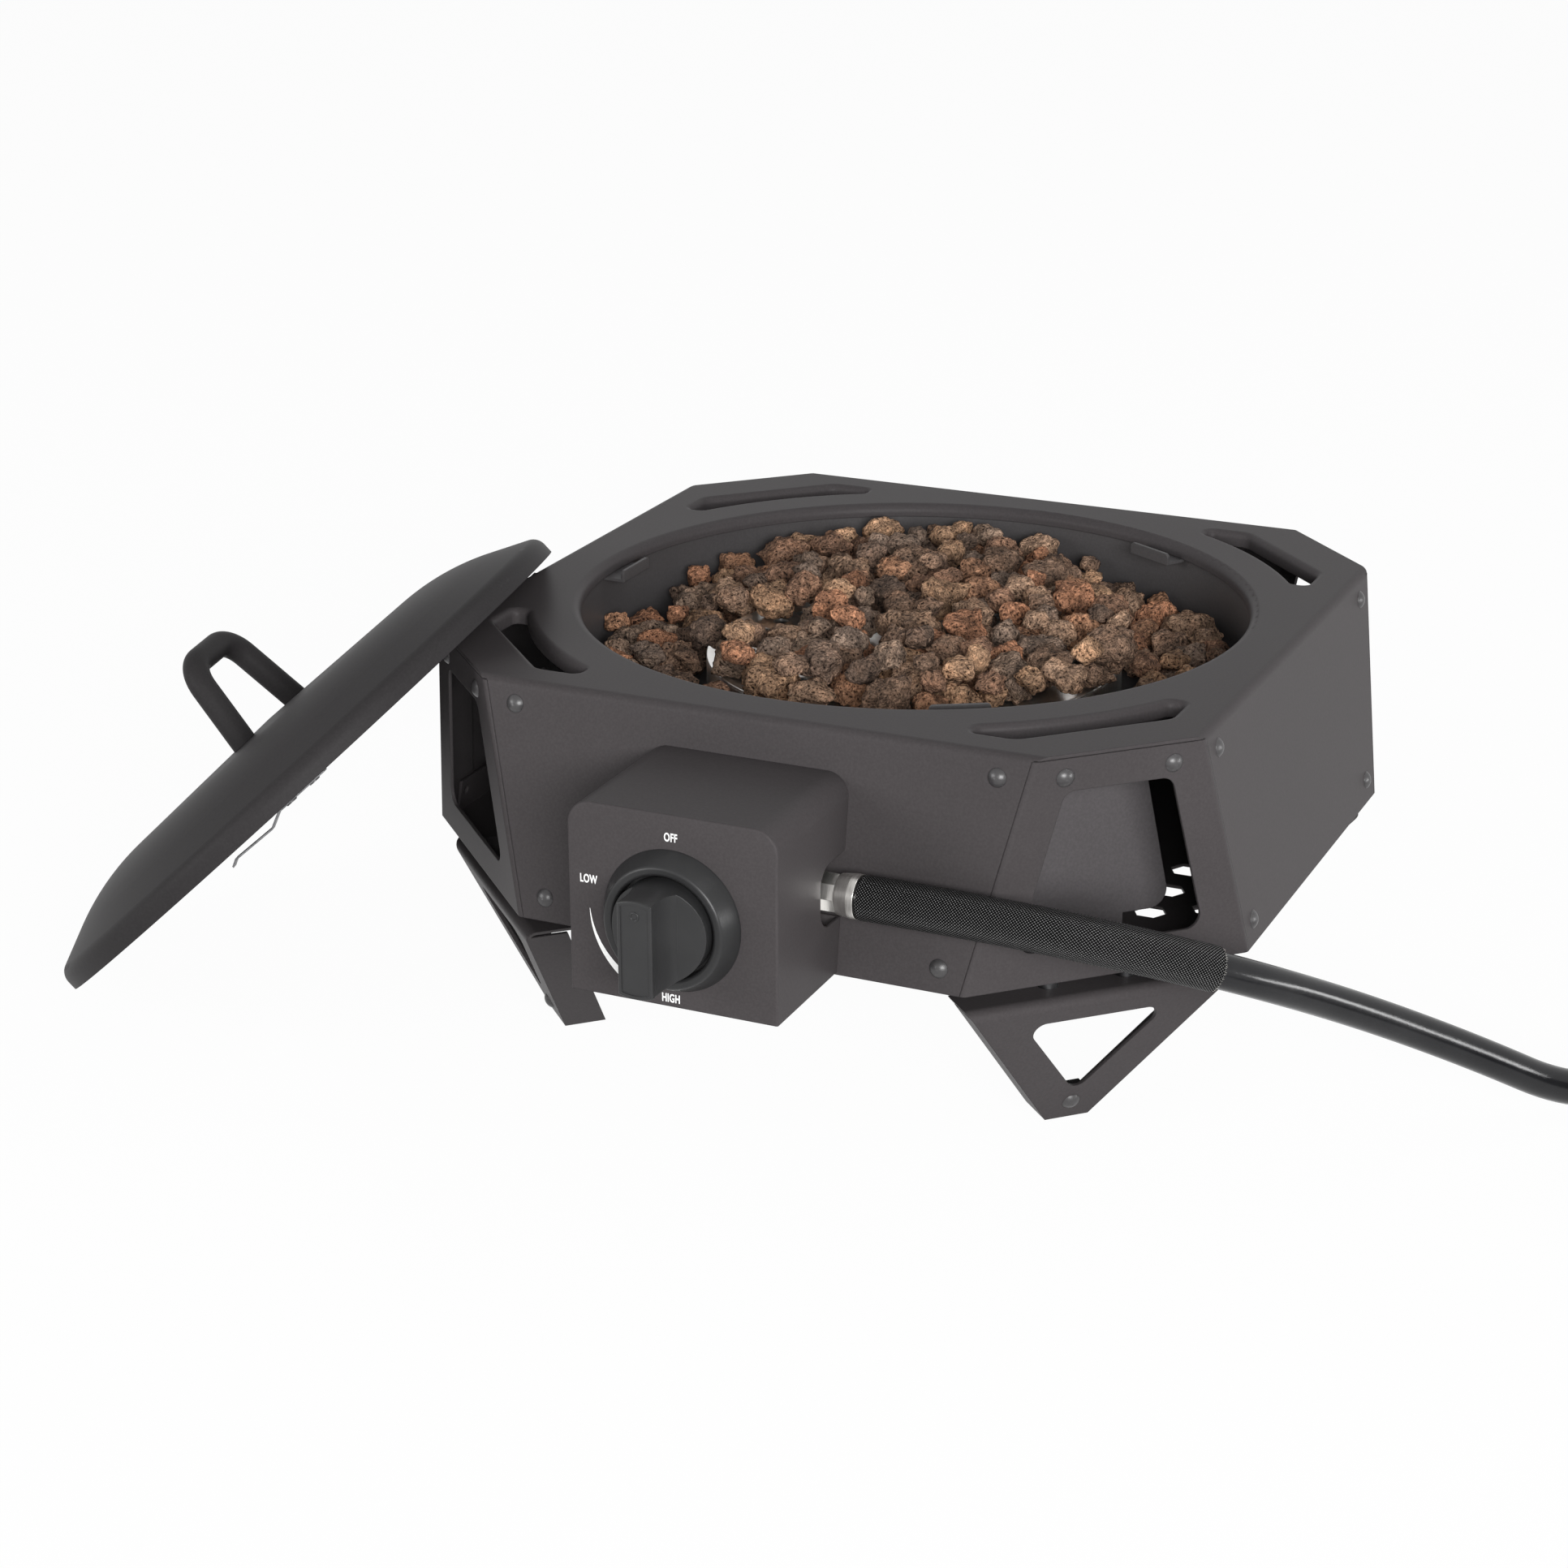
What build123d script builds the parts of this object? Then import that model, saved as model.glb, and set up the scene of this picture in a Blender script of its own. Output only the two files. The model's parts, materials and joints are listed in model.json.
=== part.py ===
from build123d import *
import math
import os
import random

import numpy as np

# Portable propane fire pit: an octagonal sheet-metal body on four folded legs, with a round
# fire bowl of lava rock over a drum burner, a control box with a push-and-turn knob on the
# front (-Y), a gas hose that leaves to the right (+X) and a domed lid that leans on the left.
# Millimetres, +Z up, the origin on the floor under the centre of the body.

# Body
deck_height = 180.0
wall_height = 100.0
deck_across = 350.0
deck_side = 248.0
base_across = 382.0
base_side = 202.0
sheet = 1.5
seam = 0.3
panel_seam = 0.1
deck_bend = 4.0
arris_bend = 3.0
overrun = 4.0

# Bowl opening and hand slots in the deck
opening_dia = 300.0
collar_drop = 6.0
collar_bend = 4.0
slot_inner_dia = 348.0
slot_side_margin = 19.0
slot_corner_margin = 25.0
slot_end_reach = 89.0
slot_tip_radius = 3.0
slot_kink_radius = 8.0
slot_roll = 3.5
slot_lip_drop = 7.0

# Corner panels
panel_flange = 24.0
window_top_gap = 16.0
window_bottom_gap = 15.0
window_top_width = 47.0
window_bottom_width = 84.0
window_radius = 6.0

# Rivets of the body
rivet_head_dia = 8.0
rivet_head_height = 2.0
rivet_shank_dia = 4.0
rivet_fit = 0.15
rivet_edge_gap = 14.0
rivet_level_gap = 10.0
corner_rivet_pitch = 47.5

# Bottom tray
tray_lip_height = 15.0
tray_lip_length = 188.0
tray_drop = 1.5
vent_across = 12.7
vent_pitch = 25.4
vent_reach = 140.5
vent_columns = 2
vent_rows = 7

# Heat shields
shield_sheet = 1.2
shield_reach = 165.0
shield_top_width = 66.0
shield_bottom_width = 96.0
shield_height = 70.0
shield_raise = 7.5
shield_radius = 8.0
shield_tab_width = 52.0
shield_foot = 32.0

# Legs
leg_sheet = 1.8
leg_top_height = 70.0
leg_top_reach = 204.0
leg_foot_reach = 172.0
leg_top_width = 120.0
leg_foot_width = 20.0
leg_shelf = 22.0
leg_lip = 18.0
leg_lip_gap = 1.5
leg_bend = 4.0
leg_hole_top_gap = 11.5
leg_hole_bottom_gap = 15.0
leg_hole_border = 19.0
leg_hole_radius = 5.0
leg_rivet_pitch = 35.0
leg_rivet_setback = 17.0
leg_rivet_dia = 5.0
leg_rivet_head_dia = 9.5
leg_rivet_head = 1.6
spacer_dia = 9.0
foot_rivet_level = 9.0
pad_height = 14.0
pad_depth = 10.0

# Fire bowl and its catches
bowl_sheet = 1.2
bowl_floor_height = 130.0
bowl_flange = 11.0
bowl_radius = 18.0
tab_width = 26.0
tab_reach = 10.0
tab_lip = 5.5
tab_corner = 2.0
tab_gap = 0.2
tab_first_angle = 60.0

# Burner
burner_dia = 188.0
burner_top_height = 154.0
burner_sheet = 1.2
burner_edge_radius = 3.0
port_dia = 7.0
port_pitch = 10.0
port_arc_pitch = 15.5
port_rings = 2
port_outer_dia = 150.0
burner_screw_ring = 60.0
burner_screw_dia = 4.0
burner_screw_head = 8.0
burner_screw_head_height = 2.4

# Gas line inside the body
gas_height = 118.0
mixer_dia = 22.0
mixer_wall = 1.2
mixer_setback = 6.0
mixer_bell = 15.0
mixer_overhang = 14.0
air_port = 7.0
riser_dia = 19.0
riser_fit = 0.3
jet_dia = 11.0
jet_hex = 14.0
jet_hex_length = 8.0
jet_nose = 12.0
jet_nose_dia = 7.0
panel_port_dia = 19.0

# Control box
box_width = 91.0
box_top_height = 162.5
box_bottom_height = 81.0
box_front = 248.0
box_sheet = 1.2
box_radius = 10.0
box_flange = 9.0
notch_depth = 22.0
notch_height = 27.0
notch_radius = 9.0

# Knob, bezel and valve
bezel_dia = 60.0
bezel_front_dia = 51.0
bezel_depth = 9.0
bezel_bore = 43.5
bezel_floor = 2.5
bezel_rim_radius = 1.6
knob_dia = 41.0
knob_gap = 5.5
knob_skirt = 6.0
knob_depth = 27.0
flank_drop = 3.0
grip_width = 15.0
grip_foot_width = 19.0
grip_hollow = 0.4
grip_edge_radius = 0.6
grip_border = 1.6
grip_recess = 0.5
knob_push = 3.0
stem_dia = 6.0
stem_fit = 0.2
stem_flat = 0.9
stem_in_knob = 14.0
stem_length = 48.0
stem_hole_dia = 14.0
valve_dia = 26.0
valve_flange_width = 46.0
valve_flange_height = 22.0
valve_flange_thick = 4.0
valve_screw_pitch = 34.0
valve_screw_dia = 4.0
valve_screw_head = 7.0
valve_screw_head_height = 1.6
valve_back = 189.0
valve_cup_dia = 19.0
valve_cup_depth = 12.0
washer_dia = 18.0
washer_thick = 2.0
washer_setback = 2.0
inlet_boss_dia = 19.0
inlet_boss_length = 17.0
nipple_dia = 11.0
nipple_hex = 15.0
nipple_hex_length = 9.0

# Hose, ferrule and sleeve
hose_dia = 15.0
hose_axis_front = 195.5
ferrule_start = 41.0
ferrule_length = 17.0
ferrule_wall = 0.75
ferrule_flare = 0.75
ferrule_rim = 3.0
ferrule_crimp_dia = 15.4
ferrule_stop = 9.0
hose_fit = 0.2
sleeve_dia = 18.6
hose_bend_share = 0.45
hose_route = [
    (104.0, -195.5, 118.0),
    (158.0, -193.5, 115.6),
    (205.0, -163.0, 98.0),
    (240.0, -110.0, 67.5),
    (279.0, -69.0, 38.7),
    (317.0, -32.0, 9.0),
    (350.0, -1.0, 9.6),
]
sleeve_length = 146.0

# Coil of the put-away length, its tie, and what is on the hose's end
coil_start = (376.0, 31.5, 9.6)
coil_first_radius = 104.0
coil_step = 15.9
coil_layer = 15.9
coil_half_turns = 4
coil_tail = 46.0
tie_width = 14.0
tie_thick = 1.4
tie_fit = 0.5
end_length = 24.0
end_dia = 19.0
end_neck_dia = 13.0
end_neck = 8.0
regulator_dia = 66.0
regulator_seam_dia = 72.0
regulator_seam = 4.0
regulator_low = 3.0
regulator_cap_share = 0.86
regulator_port_dia = 24.0
regulator_port = 10.0
vent_nub_dia = 12.0
vent_nub = 5.0
nipple_neck_dia = 16.0
nut_dia = 48.0
nut_length = 34.0
nut_bore = 30.0
nut_wall = 4.0
nut_flutes = 10
nut_flute_dia = 9.0
nut_fit = 0.4
plug_dia = 24.0
plug_length = 22.0
plug_nose = 9.0
plug_nose_dia = 12.0

# Lid, in its own frame: the rim plane is zero and the dome rises from it
lid_rim_dia = 293.0
lid_sheet = 1.2
lid_band = 9.0
lid_shoulder_dia = 208.6
lid_shoulder_height = 27.9
lid_height = 30.6
lid_band_radius = 7.0
lid_shoulder_radius = 115.0
lid_lip = 20.0
lid_tilt = 43.12
lid_bearing = 192.2
lid_rest = (-351.4, -140.4)
handle_dia = 12.0
handle_span = 64.0
handle_top_span = 44.0
handle_rise = 40.5
handle_radius = 15.0
handle_screw_dia = 4.0
handle_screw_head = 9.0
handle_screw_head_height = 2.5
handle_screw_depth = 12.0
clip_sheet = 0.8
clip_width = 8.0
clip_reach = 132.0
clip_base = 26.0
clip_jog = 7.0
clip_drop = 3.4
clip_tail = 20.0
clip_curl = 3.0
clip_first_angle = 108.0
clip_rivet_dia = 3.0
clip_rivet_head = 5.4
clip_rivet_head_height = 0.5
clip_rivet_pitch = 13.0

# Lava rocks
rock_count = 300
rock_kinds = 36
rock_small = 11.0
rock_large = 33.0
rock_flat_share = 0.78
rock_gap = 0.35
rock_wall_gap = 0.6
rock_top_gap = 0.5
rock_tries = 30
rock_misses = 60
rock_corners = 11
rock_seed = 7
rock_turn_share = 0.11
rock_bulge_shares = (0.86, 1.08)
rock_stretch_shares = (0.84, 1.18)
pile_crown = (-40.0, 85.0)
pile_crown_height = 190.0
pile_slope_share = 0.26
pile_low_height = 158.0
bare_patch = (-67.0, -21.0)
bare_patch_dia = 50.0

ROOT2 = math.sqrt(2.0)
QUARTER = 90.0
CORNER = 45.0
THIRD = 120.0


def half_across(z, inset):
    """Half the distance across the long sides at a height, moved in by an inset."""
    lean = (base_across - deck_across) / 2 / wall_height
    at = deck_across / 2 + lean * (deck_height - z)
    return at - inset * math.hypot(1, lean)


def corner_across(z, inset):
    """Distance from the axis to a corner panel at a height, moved in by an inset."""
    top = (deck_across + deck_side) / 2 / ROOT2
    base = (base_across + base_side) / 2 / ROOT2
    lean = (base - top) / wall_height
    return top + lean * (deck_height - z) - inset * math.hypot(1, lean)


def octagon(z, inset):
    """The eight corners of the body's outline at a height."""
    w = half_across(z, inset)
    s = ROOT2 * corner_across(z, inset) - w
    flat = [(-s, -w), (s, -w), (w, -s), (w, s), (s, w), (-s, w), (-w, s), (-w, -s)]
    return [(x, y, z) for x, y in flat]


def prism(low, high):
    """A closed solid between two outlines with the same number of corners."""
    n = len(low)
    loops = [low[::-1], high]
    loops += [[low[i], low[(i + 1) % n], high[(i + 1) % n], high[i]] for i in range(n)]
    faces = [Face(Wire.make_polygon(loop, close=True)) for loop in loops]
    return Part() + Solid(Shell(faces))


def body_block(low, high, inset):
    """The body's sloping octagonal block between two heights."""
    return prism(octagon(low, inset), octagon(high, inset))


def corner_point(reach, along, z, turn=0.0):
    """A point given by its distance out along the front-right diagonal and along the panel."""
    a = math.radians(turn - CORNER)
    b = a + math.pi / 2
    return (reach * math.cos(a) + along * math.cos(b),
            reach * math.sin(a) + along * math.sin(b), z)


def turned(shape, quarters):
    """The shape turned by quarter turns about the body's axis."""
    return Rot(0, 0, QUARTER * quarters) * shape


def corner_plane(reach, z):
    """A plane that faces out along the front-right diagonal."""
    out = corner_point(1, 0, 0)
    along = corner_point(0, 1, 0)
    return Plane(origin=corner_point(reach, 0, z), x_dir=along, z_dir=out)


def bar(dia, length):
    """A round bar that starts on its plane and runs along its normal."""
    return extrude(Circle(dia / 2), length)


def hex_bar(across, length):
    """A hexagonal bar given across its flats."""
    return extrude(RegularPolygon(across / 2, 6, major_radius=False), length)


def tube(outer, inner, length):
    """A round tube that starts on its plane and runs along its normal."""
    return extrude(Circle(outer / 2) - Circle(inner / 2), length)


def facing(origin, direction, x_dir=None):
    """A plane whose normal points along a direction."""
    return Plane(origin=origin, z_dir=direction, x_dir=x_dir)


def group(shapes):
    """Separate solids kept side by side in one piece."""
    return Compound(children=[s for shape in shapes for s in shape.solids()])


def slot_face():
    """The outline of the front-right hand slot, between the bowl and the deck's corner."""
    w = deck_across / 2 - slot_side_margin
    c = corner_across(deck_height, 0) - slot_corner_margin
    s = ROOT2 * c - w
    e = slot_end_reach
    flat = [(e, -e), (e, -w), (s, -w), (w, -s), (w, -e)]
    face = make_face(Polyline(*flat, close=True)) - Circle(slot_inner_dia / 2)
    kinks = [v for v in face.vertices() if v.X - v.Y > ROOT2 * c - seam]
    face = fillet(kinks, slot_kink_radius)
    tips = [v for v in face.vertices() if min(v.X, -v.Y) < e + seam]
    return fillet(tips, slot_tip_radius)


def rolled_ring(inner, outer, height, radius):
    """A ring between two outlines whose inner edge is rounded on top."""
    ring = extrude(outer - inner, height)
    top = ring.faces().sort_by(Axis.Z)[-1]
    return fillet(top.inner_wires()[0].edges(), radius)


def slot_lip():
    """The sheet rolled down round a hand slot, and the hole in the deck that it fills."""
    slot = slot_face()
    wide = offset(slot, slot_roll)
    skin = rolled_ring(slot, wide, slot_lip_drop, slot_roll - seam)
    hollow = rolled_ring(offset(slot, sheet), wide, slot_lip_drop - sheet, slot_roll - sheet - seam)
    lip = Pos(0, 0, deck_height - slot_lip_drop) * (skin - hollow)
    hole = Pos(0, 0, deck_height - slot_lip_drop) * extrude(wide, slot_lip_drop + overrun)
    return lip, hole


def rolled_collar():
    """The deck's edge rolled down into the bowl opening."""
    r, b, t = opening_dia / 2, collar_bend, sheet
    high, low = deck_height, deck_height - collar_drop
    middle = (r + b, high - b)
    edges = [Line((r, high - b), (r, low)), Line((r, low), (r + t, low))]
    edges.append(Line((r + t, low), (r + t, high - b)))
    for radius in (b, b - t):
        side, crest = (middle[0] - radius, middle[1]), (middle[0], middle[1] + radius)
        waist = (middle[0] - radius / ROOT2, middle[1] + radius / ROOT2)
        edges.append(ThreePointArc(side, waist, crest))
    edges.append(Line((r + b, high - t), (r + b, high)))
    return revolve(Plane.XZ * make_face(edges), Axis.Z)


def long_rim(block, z):
    """The four long edges of an octagonal block at a height."""
    return block.edges().filter_by_position(Axis.Z, z - seam, z + seam).sort_by(SortBy.LENGTH)[-4:]


def corner_block(low, high, inset):
    """All that lies outside the front-right corner's plane, moved in by an inset."""
    far = deck_across
    loops = []
    for z in (low, high):
        r = corner_across(z, inset)
        loops.append([corner_point(r, -far, z), corner_point(far, -far, z),
                      corner_point(far, far, z), corner_point(r, far, z)])
    return prism(loops[0], loops[1])


def make_deck_shell():
    wall_low = deck_height - wall_height
    under = deck_height - sheet
    outer = body_block(wall_low, deck_height, 0)
    outer = fillet(long_rim(outer, deck_height), deck_bend)
    inner = body_block(wall_low - overrun, under, sheet)
    inner = fillet(long_rim(inner, under), deck_bend - sheet)
    shell = outer - inner
    corner = corner_block(wall_low - overrun, under, sheet + panel_seam)
    lip, hole = slot_lip()
    for q in range(4):
        shell -= turned(corner, q)
        shell = shell - turned(hole, q) + turned(lip, q)
    shell -= Pos(0, 0, under - overrun) * bar(opening_dia + 2 * collar_bend, sheet + 2 * overrun)
    shell += rolled_collar()
    port = facing((0, -deck_across, gas_height), (0, 1, 0))
    shell -= port * bar(panel_port_dia, deck_across)
    for plane in rivet_planes():
        shell -= rivet_hole(plane)
    return shell


def long_panel_plane(along, z):
    """The front panel's outer face at a place, with its normal outward."""
    lean = (base_across - deck_across) / 2 / wall_height
    y = -half_across(z, 0)
    return Plane(origin=(along, y, z), x_dir=(1, 0, 0), z_dir=(0, -1, lean))


def rivet_hole(plane):
    """A rivet's hole through the sheets behind a plane."""
    return plane.offset(-3 * overrun) * bar(rivet_shank_dia + 2 * rivet_fit, 4 * overrun)


def rivet_planes():
    """Places of the rivets on the four long panels, on their outer faces."""
    places = []
    for z in (deck_height - rivet_level_gap, deck_height - wall_height + rivet_level_gap):
        s = ROOT2 * corner_across(z, 0) - half_across(z, 0)
        places += [long_panel_plane(sign * (s - rivet_edge_gap), z) for sign in (-1, 1)]
    planes = []
    for q in range(4):
        for p in places:
            planes.append(Plane(Rot(0, 0, QUARTER * q) * p.location))
    return planes


def corner_rivet_planes(q):
    """Places of the two rivets at the top of a corner panel."""
    z = deck_height - rivet_level_gap
    reach = corner_across(z, 0)
    lean = (corner_across(deck_height - wall_height, 0) - corner_across(deck_height, 0)) / wall_height
    out = corner_point(1, 0, 0)
    planes = []
    for sign in (-1, 1):
        spot = Plane(origin=corner_point(reach, sign * corner_rivet_pitch / 2, z),
                     x_dir=corner_point(0, 1, 0), z_dir=(out[0], out[1], lean))
        planes.append(Plane(Rot(0, 0, QUARTER * q) * spot.location))
    return planes


def corner_flange(low, high):
    """The flange of the front-right corner panel that lies behind the front panel."""
    loops = []
    for z in (low, high):
        edge = ROOT2 * corner_across(z, 0) - half_across(z, 0)
        loop = []
        for inset, outer in ((1, False), (1, True), (2, True), (2, False)):
            y = -half_across(z, inset * sheet + panel_seam)
            x = ROOT2 * corner_across(z, sheet / 2) + y if outer else edge - panel_flange
            loop.append((x, y, z))
        loops.append(loop)
    return prism(loops[0], loops[1])


def window_face(middle):
    """The window's outline round a height, on the corner panel's plane."""
    high = deck_height - window_top_gap - middle
    low = deck_height - wall_height + window_bottom_gap - middle
    wide, narrow = window_bottom_width / 2, window_top_width / 2
    face = make_face(Polyline((-wide, low), (wide, low), (narrow, high), (-narrow, high), close=True))
    return fillet(face.vertices(), window_radius)


def make_corner_panel(q):
    low = deck_height - wall_height
    high = deck_height - sheet - seam
    middle = (low + high) / 2
    plate = body_block(low, high, 0) & corner_block(low - overrun, high + overrun, sheet)
    arris = [e for e in plate.edges() if e.bounding_box().size.Z > wall_height / 2
             and (e.center().X - e.center().Y) / ROOT2 > corner_across(middle, sheet / 2)]
    plate = fillet(arris, arris_bend)
    window = extrude(window_face(middle), 2 * panel_flange)
    plate -= corner_plane(corner_across(middle, 0) - panel_flange, middle) * window
    flange = corner_flange(low + sheet, high - deck_bend)
    plate += flange
    plate += mirror(flange, about=Plane(origin=(0, 0, 0), z_dir=corner_point(0, 1, 0)))
    for plane in rivet_planes() + corner_rivet_planes(0):
        plate -= rivet_hole(plane)
    return turned(plate, q)


def rivet(grip):
    """A domed rivet: its head stands on the plane and its shank goes in by the grip."""
    r = rivet_head_dia / 2
    h = rivet_head_height
    flat = (r * r + h * h) / (2 * h)
    rise = Pos(0, 0, h - flat) * Sphere(flat)
    head = rise & bar(rivet_head_dia, h)
    shank = Pos(0, 0, -grip) * bar(rivet_shank_dia, grip)
    return head + shank


def make_panel_rivets():
    shapes = []
    for plane in rivet_planes():
        shapes.append(plane * rivet(2 * sheet + panel_seam))
    for q in range(4):
        for plane in corner_rivet_planes(q):
            shapes.append(plane * rivet(sheet))
    return group(shapes)


def tray_top():
    return deck_height - wall_height + sheet - tray_drop


def vent_places():
    """Centres of the tray's vents: staggered rows along its left and its right side."""
    places = []
    for column in range(vent_columns):
        x = vent_reach + column * vent_pitch * math.sqrt(3) / 2
        rows = vent_rows - column
        for k in range(rows):
            y = vent_pitch * (k - (rows - 1) / 2)
            places += [(x, y), (-x, y)]
    return places


def make_bottom_tray():
    low = tray_top() - sheet
    high = tray_top() + tray_lip_height
    inset = 2 * sheet + 2 * seam
    plate = body_block(low, tray_top(), inset)
    ring = body_block(low, high, inset) - body_block(tray_top() - overrun, high + overrun, inset + sheet)
    keep = Box(tray_lip_length, 2 * deck_across, 2 * high) + Box(2 * deck_across, tray_lip_length, 2 * high)
    tray = plate + (ring & keep)
    vent = RegularPolygon(vent_across / 2, 6, major_radius=False)
    vents = Sketch() + [Pos(x, y) * vent for x, y in vent_places()]
    tray -= Pos(0, 0, low - overrun) * extrude(vents, sheet + 2 * overrun)
    for x, y in leg_rivet_places():
        tray -= Pos(x, y, low - overrun) * bar(leg_rivet_dia + 2 * rivet_fit, sheet + 2 * overrun)
    for plane in rivet_planes():
        tray -= rivet_hole(plane)
    return tray


def leg_rivet_places():
    """Places of the rivets that hold the legs under the tray."""
    places = []
    for q in range(4):
        for sign in (-1, 1):
            reach = leg_top_reach - leg_rivet_setback
            x, y, _ = corner_point(reach, sign * leg_rivet_pitch / 2, 0, QUARTER * q)
            places.append((x, y))
    return places


def make_heat_shield(q):
    base = tray_top()
    low = base + shield_raise
    high = low + shield_height
    mid = (low + high) / 2
    wb, wt = shield_bottom_width / 2, shield_top_width / 2
    face = make_face(Polyline((-wb, low - mid), (wb, low - mid), (wt, high - mid), (-wt, high - mid),
                              close=True))
    face = fillet(face.vertices(), shield_radius)
    tab = Pos(0, (base - low) / 2 + low - mid) * Rectangle(shield_tab_width, low - base + 2 * shield_radius)
    plate = corner_plane(shield_reach, mid) * extrude(face + tab, shield_sheet)
    drop = corner_plane(shield_reach, base)
    plate &= drop * (Pos(0, shield_height) * Box(shield_bottom_width, 2 * shield_height, shield_foot))
    foot = Pos(0, shield_sheet / 2, shield_foot / 2) * Box(shield_tab_width, shield_sheet, shield_foot)
    shield = plate + drop * foot
    for x, y in leg_rivet_places()[:2]:
        shield -= Pos(x, y, base - overrun) * bar(leg_rivet_dia + 2 * rivet_fit, 2 * overrun)
    return turned(shield, q)


def leg_reach(z):
    """Distance of the leg's outer face from the axis at a height."""
    share = z / leg_top_height
    return leg_foot_reach + (leg_top_reach - leg_foot_reach) * share


def leg_half(z):
    """Half the leg's width at a height."""
    share = z / leg_top_height
    return (leg_foot_width + (leg_top_width - leg_foot_width) * share) / 2


def make_leg(q):
    lean = (leg_top_reach - leg_foot_reach) / leg_top_height
    thick = leg_sheet * math.hypot(1, lean)
    high = leg_top_height
    profile = [(leg_foot_reach, 0), (leg_top_reach, high), (leg_top_reach - leg_shelf, high),
               (leg_top_reach - leg_shelf, high - leg_sheet),
               (leg_top_reach - thick - leg_sheet * lean, high - leg_sheet), (leg_foot_reach - thick, 0)]
    face = make_face(Polyline(*profile, close=True))
    bend = [v for v in face.vertices() if v.X > leg_top_reach - thick / 2 and v.Y > high / 2]
    face = fillet(bend, leg_bend)
    inner = profile[4]
    crook = [v for v in face.vertices() if abs(v.X - inner[0]) < seam and abs(v.Y - inner[1]) < seam]
    face = fillet(crook, leg_bend - leg_sheet)
    section = Plane(origin=(0, 0, 0), x_dir=corner_point(1, 0, 0), z_dir=corner_point(0, -1, 0))
    leg = section * extrude(face, leg_top_width / 2, both=True)
    far = leg_top_reach + overrun
    foot, brow = leg_half(0), leg_half(high)
    outline = make_face(Polyline((-foot, 0), (foot, 0), (brow, high), (-brow, high), close=True))
    leg &= corner_plane(0, 0) * extrude(outline, far)
    for sign in (-1, 1):
        loops = []
        for z in (0, high - leg_sheet - leg_lip_gap):
            side = sign * leg_half(z)
            inside = side - sign * leg_sheet
            near = leg_reach(z) - thick / 2
            loop = [corner_point(near - leg_lip, side, z), corner_point(near, side, z),
                    corner_point(near, inside, z), corner_point(near - leg_lip, inside, z)]
            loops.append(loop if sign > 0 else loop[::-1])
        leg += prism(loops[0], loops[1])
    top = high - leg_hole_top_gap
    base = leg_hole_bottom_gap
    half = leg_half(top) - leg_hole_border
    hole = make_face(Polyline((-half, top), (half, top), (0, base), close=True))
    hole = fillet(hole.vertices(), leg_hole_radius)
    leg -= corner_plane(leg_foot_reach - 2 * thick, 0) * extrude(hole, far)
    for x, y in leg_rivet_places()[:2]:
        leg -= Pos(x, y, high - leg_sheet - overrun) * bar(leg_rivet_dia + 2 * rivet_fit, 2 * overrun)
    leg -= foot_rivet_plane().offset(-overrun) * bar(rivet_shank_dia + 2 * rivet_fit, 2 * overrun)
    return turned(leg, q)


def foot_rivet_plane():
    """The place of the rivet near the foot, on the leg's outer face."""
    lean = (leg_top_reach - leg_foot_reach) / leg_top_height
    out = corner_point(1, 0, 0)
    normal = (out[0], out[1], -lean)
    spot = corner_point(leg_reach(foot_rivet_level), 0, foot_rivet_level)
    return Plane(origin=spot, x_dir=corner_point(0, 1, 0), z_dir=normal)


def make_foot_rivets():
    return group([turned(foot_rivet_plane() * rivet(leg_sheet + pad_depth / 2), q) for q in range(4)])


def make_foot_pads():
    lean = (leg_top_reach - leg_foot_reach) / leg_top_height
    thick = leg_sheet * math.hypot(1, lean)
    loops = []
    for z in (0, pad_height):
        face = leg_reach(z) - thick
        half = leg_half(0) - leg_sheet - seam
        loops.append([corner_point(face - pad_depth, -half, z), corner_point(face, -half, z),
                      corner_point(face, half, z), corner_point(face - pad_depth, half, z)])
    pad = prism(loops[0], loops[1])
    grip = leg_sheet + pad_depth / 2
    pad -= foot_rivet_plane().offset(-grip) * bar(rivet_shank_dia + 2 * rivet_fit, grip)
    return group([turned(pad, q) for q in range(4)])


def make_leg_spacers():
    length = tray_top() - sheet - leg_top_height
    post = tube(spacer_dia, leg_rivet_dia + 2 * rivet_fit, length)
    return group([Pos(x, y, leg_top_height) * post for x, y in leg_rivet_places()])


def make_leg_rivets():
    low = leg_top_height - leg_sheet
    high = tray_top() + shield_sheet
    one = bar(leg_rivet_dia, high - low)
    one += Pos(0, 0, -leg_rivet_head) * bar(leg_rivet_head_dia, leg_rivet_head)
    one += Pos(0, 0, high - low) * bar(leg_rivet_head_dia, leg_rivet_head)
    return group([Pos(x, y, low) * one for x, y in leg_rivet_places()])


def rounded(face, spot, radius):
    """A profile with its corner at a spot rounded."""
    corner = [v for v in face.vertices() if math.dist((v.X, v.Y), spot) < seam]
    return fillet(corner, radius)


def bowl_inner_radius():
    return opening_dia / 2 + sheet + seam


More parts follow.
